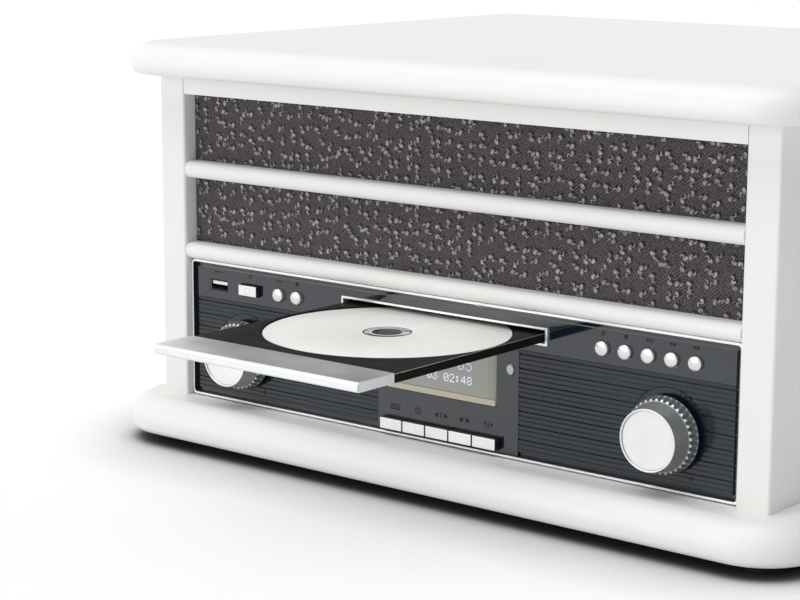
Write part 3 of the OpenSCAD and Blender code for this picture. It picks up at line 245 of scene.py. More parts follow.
def plain_finish(name, colour, metallic, roughness, grain, depth, sockets=None, patch=35.0,
                 spread=0.06, stretch=(1, 1, 1)):
    """A finish with a fine grain in its surface, slow patches in its colour and uneven gloss.
    Grain, depth and patch are in millimetres."""
    glossiest, dullest, finer = 0.88, 1.15, 2.7
    material, tree, shader, point = start_finish(name, colour, metallic, roughness, sockets)
    share = ranged(tree, noise(tree, point, 1 / patch, 3.0), *NOISE_RANGE)
    shades = mixed(tree, share, tint(colour, 1 - spread), tint(colour, 1 + spread))
    tree.links.new(shades, shader.inputs["Base Color"])
    gloss = ranged(tree, noise(tree, point, finer / patch, 4.0), *NOISE_RANGE,
                   roughness * glossiest, min(1.0, roughness * dullest))
    tree.links.new(gloss, shader.inputs["Roughness"])
    drawn = vector(tree, "MULTIPLY", point, stretch)
    bumped(tree, shader, noise(tree, drawn, 1 / grain, 2.0), depth)
    return material, tree, shader, point


def ringed_finish(name, colour, roughness, node, pitch, depth):
    """A turned metal face: fine tool rings round the axis of a CAD node."""
    material, tree, shader, point = plain_finish(name, colour, 1.0, roughness, 0.6, 0.002)
    place = add(tree, "ShaderNodeMapping", {"Vector": point, "Location": -middle(node) / MM})
    rings = add(tree, "ShaderNodeTexWave", {"Vector": place.outputs[0], "Scale": WAVE / pitch,
                                            "Distortion": 0.6, "Detail": 1.0}, wave_type="RINGS",
                rings_direction="Z")
    bumped(tree, shader, rings.outputs["Fac"], depth)
    return material


def jacquard_cloth(looks):
    """Woven jacquard: a dark ground of two crossing twills, and thick grey curls of yarn, each with
    a painted black shadow beside it. The twill is drawn at twice its real pitch, because a finer
    one is lost in the picture."""
    leans, nap_share, deepest, palest = (38, -52), 0.42, 0.1, 2.6
    # Each mark's offset, half its width and the share of its knot: first the light yarn, then its
    # painted shadow
    curl_marks = (((0.0, 0.0, 0.0), 0.36, 1.0), ((-1.2, 1.1, 0.0), 0.7, 1.05))
    material, tree, shader, point = start_finish("jacquard_speaker_cloth", looks.ground, 0.0, 0.92,
                                                 {"Sheen Weight": 0.15, "Sheen Roughness": 0.5})
    # The cloth hangs upright, so its pattern is drawn on its width and height
    flat = add(tree, "ShaderNodeMapping", {"Vector": point,
                                           "Rotation": (math.pi / 2, 0, 0)}).outputs[0]
    twills = []
    for lean in leans:
        threads = add(tree, "ShaderNodeMapping", {"Vector": flat,
                                                  "Rotation": (0, 0, math.radians(lean))})
        twill = add(tree, "ShaderNodeTexWave", {"Vector": threads.outputs[0],
                                                "Scale": WAVE * MM / looks.twill,
                                                "Distortion": 2.6, "Detail": 2.0,
                                                "Detail Scale": 1.6}, bands_direction="X")
        twills.append(twill.outputs["Fac"])
    which = ranged(tree, noise(tree, flat, 0.3, 1.0), 0.47, 0.53)
    crisp = ranged(tree, mixed(tree, which, *twills, "FLOAT"), 0.4, 0.75)
    nap = ranged(tree, noise(tree, flat, 1.1, 3.0, Roughness=0.7), 0.4, 0.6)
    weave = mixed(tree, nap_share, crisp, nap, "FLOAT")
    ground = mixed(tree, weave, tint(looks.ground, deepest), tint(looks.ground, palest))
    cells = add(tree, "ShaderNodeTexVoronoi", {"Vector": flat, "Scale": MM / looks.pitch,
                                               "Randomness": 0.68}, voronoi_dimensions="2D")
    away = vector(tree, "SUBTRACT", flat, cells.outputs["Position"])
    local = vector(tree, "MULTIPLY", away, (1, 1, 0))
    chance = add(tree, "ShaderNodeSeparateColor", {0: cells.outputs["Color"]})
    angle = number(tree, "MULTIPLY", chance.outputs[0], math.tau)
    masks = []
    for offset, tail, knot in curl_marks:
        turned = add(tree, "ShaderNodeVectorRotate", {"Vector": vector(tree, "ADD", local, offset),
                                                      "Angle": angle}, rotation_type="Z_AXIS")
        masks.append(curl_mask(tree, turned.outputs[0], looks.curl / MM, tail,
                               knot * looks.knot / MM))
    light, dark = masks
    # Painted shadow: the black mark beside each curl
    ground_with_shadows = mixed(tree, dark, ground, looks.curl_shadow)
    strength = ranged(tree, chance.outputs[1], to_low=0.55)
    shade = ranged(tree, weave, to_low=0.6)
    lit = number(tree, "MULTIPLY", number(tree, "MULTIPLY", light, strength), shade)
    tree.links.new(mixed(tree, lit, ground_with_shadows, looks.fleck), shader.inputs["Base Color"])
    bumped(tree, shader, number(tree, "ADD", light, weave), 0.25)
    return material


def curl_mask(tree, local, radius, tail, knot):
    """1 on a curled yarn round the middle of each cell: two half circles joined into an S, and a
    round knot at one end. Tail is half the yarn's width and knot the knot's radius."""
    parts = add(tree, "ShaderNodeSeparateXYZ", {0: local})
    across = number(tree, "ABSOLUTE", parts.outputs[0])
    side = number(tree, "SIGN", parts.outputs[0])
    up = number(tree, "MULTIPLY", parts.outputs[1], side)
    reach = add(tree, "ShaderNodeCombineXYZ", {0: number(tree, "SUBTRACT", across, radius), 1: up})
    length = vector(tree, "LENGTH", reach.outputs[0])
    off = number(tree, "ABSOLUTE", number(tree, "SUBTRACT", length, radius))
    line = ranged(tree, off, tail * 0.6, tail, 1.0, 0.0)
    half = ranged(tree, up, -0.25, 0.1)
    end = vector(tree, "DISTANCE", local, (1.8 * radius, -0.2, 0.0))
    ball = ranged(tree, end, knot * 0.75, knot, 1.0, 0.0)
    return number(tree, "MAXIMUM", number(tree, "MULTIPLY", line, half), ball)


def circuit_board():
    """Solder mask over fibreglass: green with slightly paler copper tracks, and a satin sheen."""
    material, tree, shader, point = plain_finish("solder_mask_on_fibreglass", srgb("#1F5B33"), 0.0,
                                                 0.4, 0.8, 0.01)
    tracks = add(tree, "ShaderNodeTexBrick", {"Vector": point, "Scale": 0.2, "Mortar Size": 0.02,
                                              "Color1": srgb("#1F5B33"), "Color2": srgb("#1A4E2C"),
                                              "Mortar": srgb("#3F8A52")})
    tree.links.new(tracks.outputs["Color"], shader.inputs["Base Color"])
    return material


# Each row: slot, name, colour, metallic, roughness, grain and its depth in millimetres
PLAIN_FINISHES = (
    # Moulded rubber, matt and nearly black
    ("foot_rubber", "moulded_rubber", "#1C1C1C", 0.0, 0.85, 0.5, 0.03),
    # Bare fibreboard of the speaker board, dull brown with short pressed fibres
    ("bare_fibreboard", "bare_medium_density_fibreboard", "#A98F6C", 0.0, 0.9, 0.7, 0.06),
    # Zinc plated pressed steel, cool and a little mottled
    ("basket_steel", "zinc_plated_pressed_steel", "#A3A7A8", 1.0, 0.38, 1.2, 0.01),
    # Felted paper, dull and fibrous
    ("cone_paper", "felted_cone_paper", "#232122", 0.0, 0.93, 0.6, 0.08),
    # Turned brass with a soft gleam
    ("brass", "turned_brass", "#C79A4B", 1.0, 0.26, 0.4, 0.003),
    # Drawn steel can, plated and fairly bright
    ("motor_steel", "drawn_steel_can", "#B2B4B5", 1.0, 0.3, 1.0, 0.006),
    # Ground rubber belt, matt with a dusty sheen
    ("belt_rubber", "ground_belt_rubber", "#1A1919", 0.0, 0.78, 0.3, 0.02),
    # Satin chrome on moulded frames: pale and bright from every side; also painted highlights on
    # the steep facets where the knobs' lands start
    ("bright_trim", "satin_chrome_trim", "#F4F5F5", 0.6, 0.2, 4.0, 0.001),
    # Tinned steel shells, soft grey mirror
    ("socket_steel", "tinned_steel", "#C4C6C7", 1.0, 0.24, 1.0, 0.004),
    # Glass filled nylon, dull black with a fine grain
    ("loader_plastic", "glass_filled_nylon", "#26272A", 0.0, 0.55, 0.35, 0.02),
    # Stamped steel with an oily grey sheen; also a painted dark reflection on the bar's corners
    ("drive_steel", "stamped_steel", "#8F9395", 1.0, 0.34, 0.9, 0.008),
    # Thermoset socket bodies, satin black, also for the dark sides of caps, and painted shade on
    # the inner walls of frames and under them
    ("socket_plastic", "moulded_thermoset", "#161617", 0.0, 0.42, 0.5, 0.01),
    # Nickel plated hinge steel, a bright and faintly warm mirror
    ("hinge_steel", "nickel_plated_steel", "#BDBBB5", 1.0, 0.22, 1.4, 0.004),
    # Ground and polished spindle steel, with sharp highlights
    ("spindle_steel", "polished_spindle_steel", "#DADCDD", 1.0, 0.1, 0.5, 0.001),
    # Rubber of the platter's mat, deep matt black, and the dark line round a disc's hub
    ("mat_rubber", "moulded_mat_rubber", "#161616", 0.0, 0.82, 0.45, 0.02),
    # Satin anodised arm and levers, with one soft light along them
    ("arm_aluminium", "satin_anodised_aluminium", "#C9CBCC", 1.0, 0.28, 0.5, 0.003),
    # Acetal gear, warm white and waxy
    ("gear_plastic", "moulded_acetal", "#E9E4D6", 0.0, 0.4, 0.8, 0.006),
    # White acrylic caps, clean and slightly glossy
    ("white_plastic", "moulded_white_acrylic", "#F1F1EF", 0.0, 0.28, 1.0, 0.003),
)

FINISHES = {}


def prepare_finishes(scene):
    """Makes one material for each slot of the record, and the extra ones of the fine pieces."""
    cabinet, panel, knobs = scene.music_cabinet, scene.music_panel, scene.music_knobs
    # Rows as above, with the colours that can be set, and what else differs
    set_finishes = (
        # Sprayed satin lacquer: a near even white with a faint orange peel and soft highlights
        ("white_lacquer", "sprayed_lacquer_on_fibreboard", cabinet.lacquer, 0.0, 0.42, 1.8, 0.005,
         {"sockets": {"Specular IOR Level": 0.35}, "patch": 90.0, "spread": 0.008}),
        # Glossy moulded plastic: dark by itself, and lighter where it mirrors the pale surroundings
        ("panel_plastic", "glossy_moulded_styrene", panel.plastic, 0.0, 0.06, 2.5, 0.0004,
         {"sockets": {"Specular IOR Level": 0.85, "Coat Weight": 0.2, "Coat Roughness": 0.03},
          "patch": 60.0, "spread": 0.04}),
        # The ribs have the same plastic with a softer gloss, so they look darker
        ("rib_plastic", "satin_moulded_styrene", panel.plastic, 0.0, 0.14, 2.5, 0.0004,
         {"sockets": {"Specular IOR Level": 0.62}, "patch": 60.0, "spread": 0.04}),
        # Deck moulding with a spark eroded texture that scatters the light
        ("deck_plastic", "spark_textured_styrene", scene.music_deck.plastic, 0.0, 0.5, 0.5, 0.03,
         {}),
        # Moulded polystyrene of the drawer: black, with a soft gloss that spreads what it mirrors
        ("tray_plastic", "moulded_polystyrene", "#161514", 0.0, 0.5, 0.6, 0.004,
         {"sockets": {"Specular IOR Level": 0.08}}),
        # Backlit display behind clear acrylic: a pale grey field under a clear gloss
        ("lens_plastic", "display_behind_clear_acrylic", panel.glass, 0.0, 0.12, 6.0, 0.001,
         {"sockets": {"Coat Weight": 0.6}, "patch": 50.0, "spread": 0.03}),
        # Brushed and clear anodised aluminium: fine scratches along the bar that blur what it
        # mirrors, so its top shows the dark panel as an even grey
        ("drawer_aluminium", "brushed_drawer_aluminium", "#D6D9DA", 1.0, 0.36, 0.25, 0.0015,
         {"patch": 60.0, "spread": 0.01, "stretch": (0.02, 1, 1)}),
        # Painted light: a paler, less metallic copy of the bar's aluminium on its front and ends,
        # so they stay pale as where lit, and painted highlights on the thin edges of the tray and
        # the disc
        ("bar_edge", "satin_anodised_edge", "#E4E6E6", 0.35, 0.4, 0.4, 0.002, {"spread": 0.01}),
        # Painted shade: matt black under the plinth, which keeps the gap over the floor dark
        ("base_paint", "matt_black_paint", "#1E1E1E", 0.0, 0.9, 0.8, 0.01,
         {"sockets": {"Specular IOR Level": 0.1}}),
        # Painted hardboard of the back, matt with a fine uneven grain
        ("painted_back", "painted_hardboard", cabinet.back, 0.0, 0.6, 1.1, 0.03, {}),
        # Vacuum metallised knobs under a satin varnish, a soft grey round the barrel
        ("silver_plastic", "satin_metallised_plastic", knobs.silver, 0.65, 0.32, 0.5, 0.002, {}),
        # Painted light: a paler, less metallic copy of the knob's silver on its front, so the face
        # stays pale as where lit
        ("knob_face", "spun_knob_face", knobs.face, 0.35, 0.42, 0.3, 0.002, {}),
        # Small buttons are metallised too, but left glossy and paler
        ("button_silver", "glossy_metallised_plastic", "#D9DBDB", 0.8, 0.2, 0.8, 0.002, {}),
        # Screen printed white top of a disc, satin
        ("disc_plastic", "printed_disc_top", "#F4F3F0", 0.0, 0.36, 0.7, 0.002, {"spread": 0.01}),
        # Bare polycarbonate of the disc's hub and edges, grey green over the dark tray, and
        # the shaded side of the receiver's dome
        ("disc_hub", "clear_polycarbonate", "#4C5855", 0.0, 0.08, 3.0, 0.002,
         {"sockets": {"Transmission Weight": 0.3, "IOR": 1.58}}),
        # Aluminium film on the reading side of a disc, mirror bright
        ("disc_mirror", "mirrored_polycarbonate", "#C8CCD4", 1.0, 0.08, 3.0, 0.001, {}),
        # Printed ink is matt, so the signs stay dark where the panel mirrors the floor; the same
        # ink paints the shade round the knobs' bosses
        ("ink", "screen_printed_ink", panel.ink, 0.0, 0.7, 0.4, 0.002,
         {"sockets": {"Specular IOR Level": 0.2}}),
        # Edge of the display's light guide, warm where the lamp's light enters
        ("light_strip", "frosted_light_guide", panel.strip, 0.0, 0.35, 0.8, 0.002, {}),
        # Shade along the guide and on the display's right, darker than the strip
        ("strip_line", "light_guide_edge", tint(panel.strip, 0.42), 0.0, 0.35, 0.8, 0.002, {}),
        # Window's bevelled rim, where the acrylic gathers the light
        ("window_edge", "polished_acrylic_edge", "#B7B4A8", 0.0, 0.14, 3.0, 0.002, {}),
        # Lit segments glow a little over the display
        ("lit_digit", "lit_display_segment", panel.digit, 0.0, 0.4, 1.0, 0.001,
         {"sockets": {"Emission Color": panel.digit, "Emission Strength": 0.25}}),
        # Tinted acrylic dome over the receiver, with a watery green cast
        ("sensor_lens", "tinted_acrylic_lens", "#B4C0BF", 0.0, 0.06, 2.0, 0.002,
         {"sockets": {"Coat Weight": 1.0, "IOR": 1.49}}),
        # Rings of the phono sockets, plain satin colours that tell the channels apart
        ("ring_red", "red_insulator", "#A32020", 0.0, 0.4, 0.6, 0.01, {}),
        ("ring_white", "white_insulator", "#E6E4DF", 0.0, 0.4, 0.6, 0.01, {}),
    )
    for slot, name, colour, *numbers, more in (*((*row, {}) for row in PLAIN_FINISHES),
                                               *set_finishes):
        colour = srgb(colour) if isinstance(colour, str) else colour
        FINISHES[slot] = plain_finish(name, colour, *numbers, **more)[0]
    FINISHES["speaker_cloth"] = jacquard_cloth(scene.music_cloth)
    FINISHES["circuit_board"] = circuit_board()
    FINISHES["platter_aluminium"] = ringed_finish("turned_platter_aluminium", srgb("#B9BBBD"), 0.28,
                                                  "platter", 0.9, 0.01)


def middle(node):
    """The middle of a CAD node's box."""
    low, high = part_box(node)
    return (low + high) / 2


def welded(node):
    """A CAD node's mesh with its loose triangles joined."""
    shape = bmesh.new()
    shape.from_mesh(NODES[node].data)
    bmesh.ops.remove_doubles(shape, verts=shape.verts, dist=WELD)
    return shape


def solid_boxes(node):
    """The corners of each separate solid of a CAD node, from the lowest up and left to right."""
    shape = welded(node)
    left, boxes = set(shape.verts), []
    while left:
        reached = [left.pop()]
        for vertex in reached:
            for edge in vertex.link_edges:
                other = edge.other_vert(vertex)
                if other in left:
                    left.remove(other)
                    reached.append(other)
        low = Vector([min(v.co[i] for v in reached) for i in range(3)])
        high = Vector([max(v.co[i] for v in reached) for i in range(3)])
        boxes.append((low, high))
    shape.free()
    return sorted(boxes, key=lambda b: (round(b[0].z, 4), b[0].x))


def mesh_of(shape, name):
    """A plain mesh from a bmesh, which is freed."""
    mesh = bpy.data.meshes.new(name)
    shape.to_mesh(mesh)
    shape.free()
    return mesh


def linked(name, data):
    """A new object in the scene."""
    made = bpy.data.objects.new(name, data)
    bpy.context.scene.collection.objects.link(made)
    return made


def place_piece(name, mesh, node, finishes, replaces=()):
    """Links a mesh as a piece that rides with a CAD node's body and takes a slot of the record."""
    piece = linked(name, mesh)
    if finishes:
        mesh.materials.clear()
        for finish in finishes:
            mesh.materials.append(FINISHES[finish])
    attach(piece, NODES[node]["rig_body"])
    if replaces:
        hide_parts(*replaces)
    return piece


def applied(piece, modifiers):
    """Adds modifiers, each a kind and its settings, to a loose object and returns the mesh."""
    for kind, settings in modifiers:
        made = piece.modifiers.new(kind.lower(), kind)
        for name, value in settings.items():
            setattr(made, name, value)
    bpy.context.view_layer.update()
    shown = piece.evaluated_get(bpy.context.evaluated_depsgraph_get())
    mesh = bpy.data.meshes.new_from_object(shown)
    bpy.data.objects.remove(piece)
    return mesh


def softened(mesh, edge, sharp=32.0, above=None):
    """Rounds the sharp edges of a mesh, all alike or, above a given height, each by the
    shortest edge that it meets, and shades its curves smooth and its flats flat."""
    limit = {"limit_method": "ANGLE", "angle_limit": math.radians(sharp)}
    if above is not None:
        limit = {"limit_method": "WEIGHT", "use_clamp_overlap": False}
        shape = bmesh.new()
        shape.from_mesh(mesh)
        share = shape.edges.layers.float.new("bevel_weight_edge")
        for line in shape.edges:
            if (line.calc_face_angle(0.0) > math.radians(sharp)
                    and min(v.co.z for v in line.verts) > above):
                shortest = min(e.calc_length() for v in line.verts for e in v.link_edges)
                line[share] = min(1.0, 0.3 * shortest / edge)
        shape.to_mesh(mesh)
        shape.free()
    return applied(linked("softening", smooth(mesh, sharp)), [
        ("BEVEL", {"width": edge, "segments": 2, "harden_normals": True, **limit}),
        ("WEIGHTED_NORMAL", {"keep_sharp": True, "weight": 60})])


def dressed(node, edge, finish=None, name=None, sharp=32.0, above=None):
    """Stands a softened copy of a CAD node in its place."""
    shape = welded(node)
    bmesh.ops.dissolve_limit(shape, angle_limit=math.radians(0.3), verts=shape.verts,
                             edges=shape.edges)
    mesh = softened(mesh_of(shape, node), edge, sharp, above)
    return place_piece(name or f"finished_{node}", mesh, node, [finish or SLOT_OF[node]], [node])


def paint(piece, finish, chosen):
    """Gives another finish to the faces whose centre and normal are chosen."""
    piece.data.materials.append(FINISHES[finish])
    last = len(piece.data.materials) - 1
    for face in piece.data.polygons:
        if chosen(face.center, face.normal):
            face.material_index = last


def turned_mesh(name, outline, centre, axis, steps=64, ring=None):
    """A turned form: the outline's points, (radius, height), round an axis through the centre.
    Points on the axis close the form, and ring may change a radius as it goes round."""
    shape = bmesh.new()
    to_place = Matrix.Translation(centre) @ axis.to_track_quat("Z", "Y").to_matrix().to_4x4()
    rings = []
    for radius, height in outline:
        if radius <= 0:
            rings.append([shape.verts.new(to_place @ Vector((0, 0, height)))])
            continue
        loop = []
        for i in range(steps):
            angle = math.tau * i / steps
            reach = ring(radius, height, angle) if ring else radius
            loop.append(shape.verts.new(to_place @ Vector((reach * math.cos(angle),
                                                           reach * math.sin(angle), height))))
        rings.append(loop)
    for below, above in zip(rings, rings[1:]):
        for i in range(steps):
            j = (i + 1) % steps
            if len(below) == 1:
                shape.faces.new((below[0], above[j], above[i]))
            elif len(above) == 1:
                shape.faces.new((below[i], below[j], above[0]))
            else:
                shape.faces.new((below[i], below[j], above[j], above[i]))
    # An outline that comes back to its first point gives one ring twice
    bmesh.ops.remove_doubles(shape, verts=shape.verts, dist=WELD)
    bmesh.ops.recalc_face_normals(shape, faces=shape.faces)
    return mesh_of(shape, name)


def smooth(mesh, sharp=35.0):
    """Shades a mesh smooth, and keeps the edges past an angle in degrees sharp."""
    mesh.shade_smooth()
    mesh.set_sharp_from_angle(angle=math.radians(sharp))
    return mesh


def flat_marks(outlines, front, thickness):
    """Thin printed marks on an upright face: each outline is a list of (x, z) points."""
    shape = bmesh.new()
    for outline in outlines:
        face = shape.faces.new([shape.verts.new((x, front, z)) for x, z in outline])
        raised = bmesh.ops.extrude_face_region(shape, geom=[face])
        for item in raised["geom"]:
            if isinstance(item, bmesh.types.BMVert):
                item.co.y -= thickness
    bmesh.ops.recalc_face_normals(shape, faces=shape.faces)
    return mesh_of(shape, "marks")


def lit_dots(text, right, base, pitch):
    """Places (x, z) of the lit dots of a row of digits that ends at the right. Each character is
    a matrix of five by seven dots, given as seven rows of bits from the top down."""
    shapes = {"0": (14, 17, 19, 21, 25, 17, 14), "1": (4, 12, 4, 4, 4, 4, 14),
              "2": (14, 17, 1, 2, 4, 8, 31), "3": (31, 2, 4, 2, 1, 17, 14),
              "4": (2, 6, 10, 18, 31, 2, 2), "5": (31, 16, 30, 1, 1, 17, 14),
              "6": (6, 8, 16, 30, 17, 17, 14), "7": (31, 1, 2, 4, 8, 8, 8),
              "8": (14, 17, 17, 14, 17, 17, 14), "9": (14, 17, 17, 15, 1, 2, 12),
              ":": (0, 12, 12, 0, 12, 12, 0), " ": (0,) * 7}
    columns, rows, dots = 5, 7, []
    for place, character in enumerate(text):
        # One column stays free between two characters
        left = right - (len(text) - place) * (columns + 1) * pitch + pitch
        for row, bits in enumerate(shapes[character]):
            dots += [(left + (column + 0.5) * pitch, base + (rows - 0.5 - row) * pitch)
                     for column in range(columns) if bits >> (columns - 1 - column) & 1]
    return dots


def regular_outline(x, z, radius, corners, first=0.0):
    """A triangle, or a disc of many corners, with its first corner at an angle."""
    return [(x + radius * math.cos(math.tau * i / corners + first),
             z + radius * math.sin(math.tau * i / corners + first)) for i in range(corners)]


def bar_outline(x, z, w, h):
    """A bar round its centre."""
    return [(x - w / 2, z - h / 2), (x + w / 2, z - h / 2), (x + w / 2, z + h / 2),
            (x - w / 2, z + h / 2)]


def arc_outline(x, z, outer, inner, start, sweep, steps=16):
    """A band bent round a centre, from an angle on and through a sweep, both in degrees."""
    angles = [math.radians(start + sweep * i / steps) for i in range(steps + 1)]
    return ([(x + outer * math.cos(a), z + outer * math.sin(a)) for a in angles]
            + [(x + inner * math.cos(a), z + inner * math.sin(a)) for a in reversed(angles)])


def star_outline(x, z, radius):
    """A star of five points."""
    points, notch = [], 0.42
    for i in range(10):
        reach, angle = radius * (notch if i % 2 else 1.0), math.pi / 2 + math.pi * i / 5
        points.append((x + reach * math.cos(angle), z + reach * math.sin(angle)))
    return points


def sign_of(node, x, z, size):
    """Plain signs, made of triangles, bars, discs and rings, in shares of their size."""
    right, up, left = 0.0, math.pi / 2, math.pi

    def bar(over, above, wide, high):
        return bar_outline(x + over * size, z + above * size, wide * size, high * size)

    def mark(over, above, radius, corners, first=0.0):
        return regular_outline(x + over * size, z + above * size, radius * size, corners, first)

    def band(outer, inner, start, sweep):
        return arc_outline(x, z, outer * size, inner * size, start, sweep)

    signs = {
        "usb_socket": [bar(0, 0, 3.4, 0.4), mark(-1.9, 0, 0.5, 12), mark(2.1, 0, 0.6, 3, right)],
        "power_button": [band(1.1, 0.75, 115, 310), bar(0, 0.85, 0.35, 1)],
        "function_button": [mark(i * 1.5, 0, 0.5, 12) for i in (-1, 0, 1)],
        "record_button": [mark(0, 0, 1, 20)],
        "eject_button": [mark(0, 0.2, 1, 3, up), bar(0, -0.8, 1.8, 0.4)],
        "stop_button": [bar(0, 0, 1.7, 1.7)],
        "play_button": [mark(-0.8, 0, 1, 3, right), bar(0.7, 0, 0.4, 1.6), bar(1.6, 0, 0.4, 1.6)],
        "back_button": [mark(i, 0, 1, 3, left) for i in (-0.7, 0.9)],
        "forward_button": [mark(i, 0, 1, 3, right) for i in (-0.9, 0.7)],
        "menu_key": [bar(0, i * 0.8, 4.6, 0.4) for i in (-1, 0, 1)],
        "info_key": [*(band(1.3, 0.95, start, 176) for start in (2, 182)), bar(0, 0, 0.4, 1.1)],
        "scan_key": [mark(-1.9, 0, 1.1, 3, left), bar(0, 0, 0.4, 2), mark(1.9, 0, 1.1, 3, right)],
        "preset_key": [star_outline(x + i * size * 2.6, z, size * 1.25) for i in (-0.5, 0.5)],
        "tone_key": [part for i, slid in ((-1, 0.5), (0, -0.5), (1, 0.2))
                     for part in (bar(i * 1.4, 0, 0.25, 2.4), bar(i * 1.4, slid, 1, 0.5))],
    }
    return signs[node]


def repeated(name, points, part, finish, settings):
    """Sets a small part on each point with Geometry Nodes and returns the plain mesh.
    Each point is a place and the direction that the part's Z axis takes."""
    places = bpy.data.meshes.new(name)
    places.from_pydata([p for p, _ in points], [], [])
    facing = places.attributes.new("facing", "FLOAT_VECTOR", "POINT")
    for i, (_, direction) in enumerate(points):
        facing.data[i].vector = direction
    carrier, model = linked(name, places), linked(f"{name}_part", part)
    tree = bpy.data.node_groups.new(name, "GeometryNodeTree")
    tree.interface.new_socket("Geometry", in_out="INPUT", socket_type="NodeSocketGeometry")
    wanted = {}
    for label, value in settings.items():
        socket = tree.interface.new_socket(label, in_out="INPUT", socket_type="NodeSocketFloat")
        wanted[socket.identifier] = value
    model_socket = tree.interface.new_socket("Part", in_out="INPUT", socket_type="NodeSocketObject")
    wanted[model_socket.identifier] = model
    tree.interface.new_socket("Geometry", in_out="OUTPUT", socket_type="NodeSocketGeometry")
    start = add(tree, "NodeGroupInput")
    known = add(tree, "GeometryNodeInputNamedAttribute", {"Name": "facing"},
                data_type="FLOAT_VECTOR")
    turn = add(tree, "FunctionNodeAlignRotationToVector", {"Vector": known.outputs["Attribute"]},
               axis="Z")
    source = add(tree, "GeometryNodeObjectInfo", {"Object": start.outputs["Part"]})
    spots = add(tree, "GeometryNodeMeshToPoints", {"Mesh": start.outputs["Geometry"]})
    spin = add(tree, "FunctionNodeRandomValue", {2: 0.0, 3: math.tau, "Seed": 7}, data_type="FLOAT")
    own_turn = add(tree, "ShaderNodeMath", {0: spin.outputs[1], 1: start.outputs["Random turn"]},
                   operation="MULTIPLY")
    about = add(tree, "FunctionNodeAxisAngleToRotation", {"Axis": (0, 0, 1),
                                                          "Angle": own_turn.outputs[0]})
    whole = add(tree, "FunctionNodeRotateRotation", {0: turn.outputs[0], 1: about.outputs[0]},
                rotation_space="LOCAL")
    copies = add(tree, "GeometryNodeInstanceOnPoints", {
        "Points": spots.outputs[0], "Instance": source.outputs["Geometry"],
        "Rotation": whole.outputs[0], "Scale": start.outputs["Size"]})
    solid = add(tree, "GeometryNodeRealizeInstances", {"Geometry": copies.outputs[0]})
    painted = add(tree, "GeometryNodeSetMaterial", {"Geometry": solid.outputs[0],
                                                    "Material": FINISHES[finish]})
    add(tree, "NodeGroupOutput", {0: painted.outputs[0]})
    modifier = carrier.modifiers.new("repeat", "NODES")
    modifier.node_group = tree
    for identifier, value in wanted.items():
        modifier[identifier] = value
    mesh = applied(carrier, [])
    bpy.data.objects.remove(model)
    bpy.data.node_groups.remove(tree)
    return mesh


def screw_part(radius):
    """Pan head screw with a cross recess, drawn upwards from its seat."""
    shape, sides = bmesh.new(), 24
    arm, bar = radius * 0.55, radius * 0.14
    cross = [(bar, bar), (bar, arm), (-bar, arm), (-bar, bar), (-arm, bar), (-arm, -bar),
             (-bar, -bar), (-bar, -arm), (bar, -arm), (bar, -bar), (arm, -bar), (arm, bar)]
    levels = [(radius, 0.0), (radius, radius * 0.25), (radius * 0.86, radius * 0.5)]
    loops = [[shape.verts.new((x, y, z)) for x, y in regular_outline(0, 0, reach, sides)]
             for reach, z in levels]
    mouth = [shape.verts.new((x, y, radius * 0.56)) for x, y in cross]
    floor = [shape.verts.new((x * 0.8, y * 0.8, radius * 0.2)) for x, y in cross]
    for loop in (*loops, mouth, floor):
        for i, vertex in enumerate(loop):
            shape.edges.new((vertex, loop[(i + 1) % len(loop)]))
    for below, above in (*zip(loops, loops[1:]), (mouth, floor)):
        for i in range(len(below)):
            j = (i + 1) % len(below)
            shape.faces.new((below[i], below[j], above[j], above[i]))
    shape.faces.new(floor)
    shape.faces.new(loops[0])
    rim = [e for loop in (loops[-1], mouth) for e in {edge for v in loop for edge in v.link_edges}
           if all(v in loop for v in e.verts)]
    bmesh.ops.bridge_loops(shape, edges=rim)
    bmesh.ops.recalc_face_normals(shape, faces=shape.faces)
    return smooth(mesh_of(shape, "screw"))


def small_block(size, edge):
    """A block with broken edges, for a dot that repeats."""
    part = bmesh.new()
    bmesh.ops.create_cube(part, size=1.0)
    bmesh.ops.scale(part, vec=size, verts=part.verts)
    bmesh.ops.bevel(part, geom=part.edges, offset=edge, segments=1, affect="EDGES")
    return mesh_of(part, "dot")


def finished(*names):
    """Ends an operator, or raises an error when one of its pieces is missing."""
    missing = [name for name in names if name not in bpy.data.objects]
    if missing:
        raise RuntimeError(f"Not made: {', '.join(missing)}")
    return {"FINISHED"}


def make_cabinet(looks):
    """Lacquered boards and battens, rubber feet and the painted back."""
    for node in ("side_panels", "front_frame", "cloth_rails", "wood_battens"):
        dressed(node, looks.edge)
    plinth = dressed("plinth", looks.edge)
    # Painted shade: the plinth's underside is black, which darkens the gap over the floor
    paint(plinth, "base_paint", lambda c, n: n.z < -0.9)
    dressed("lid", looks.edge)
    dressed("feet", 0.4 * MM)
    dressed("back_panel", 0.3 * MM, "painted_back")


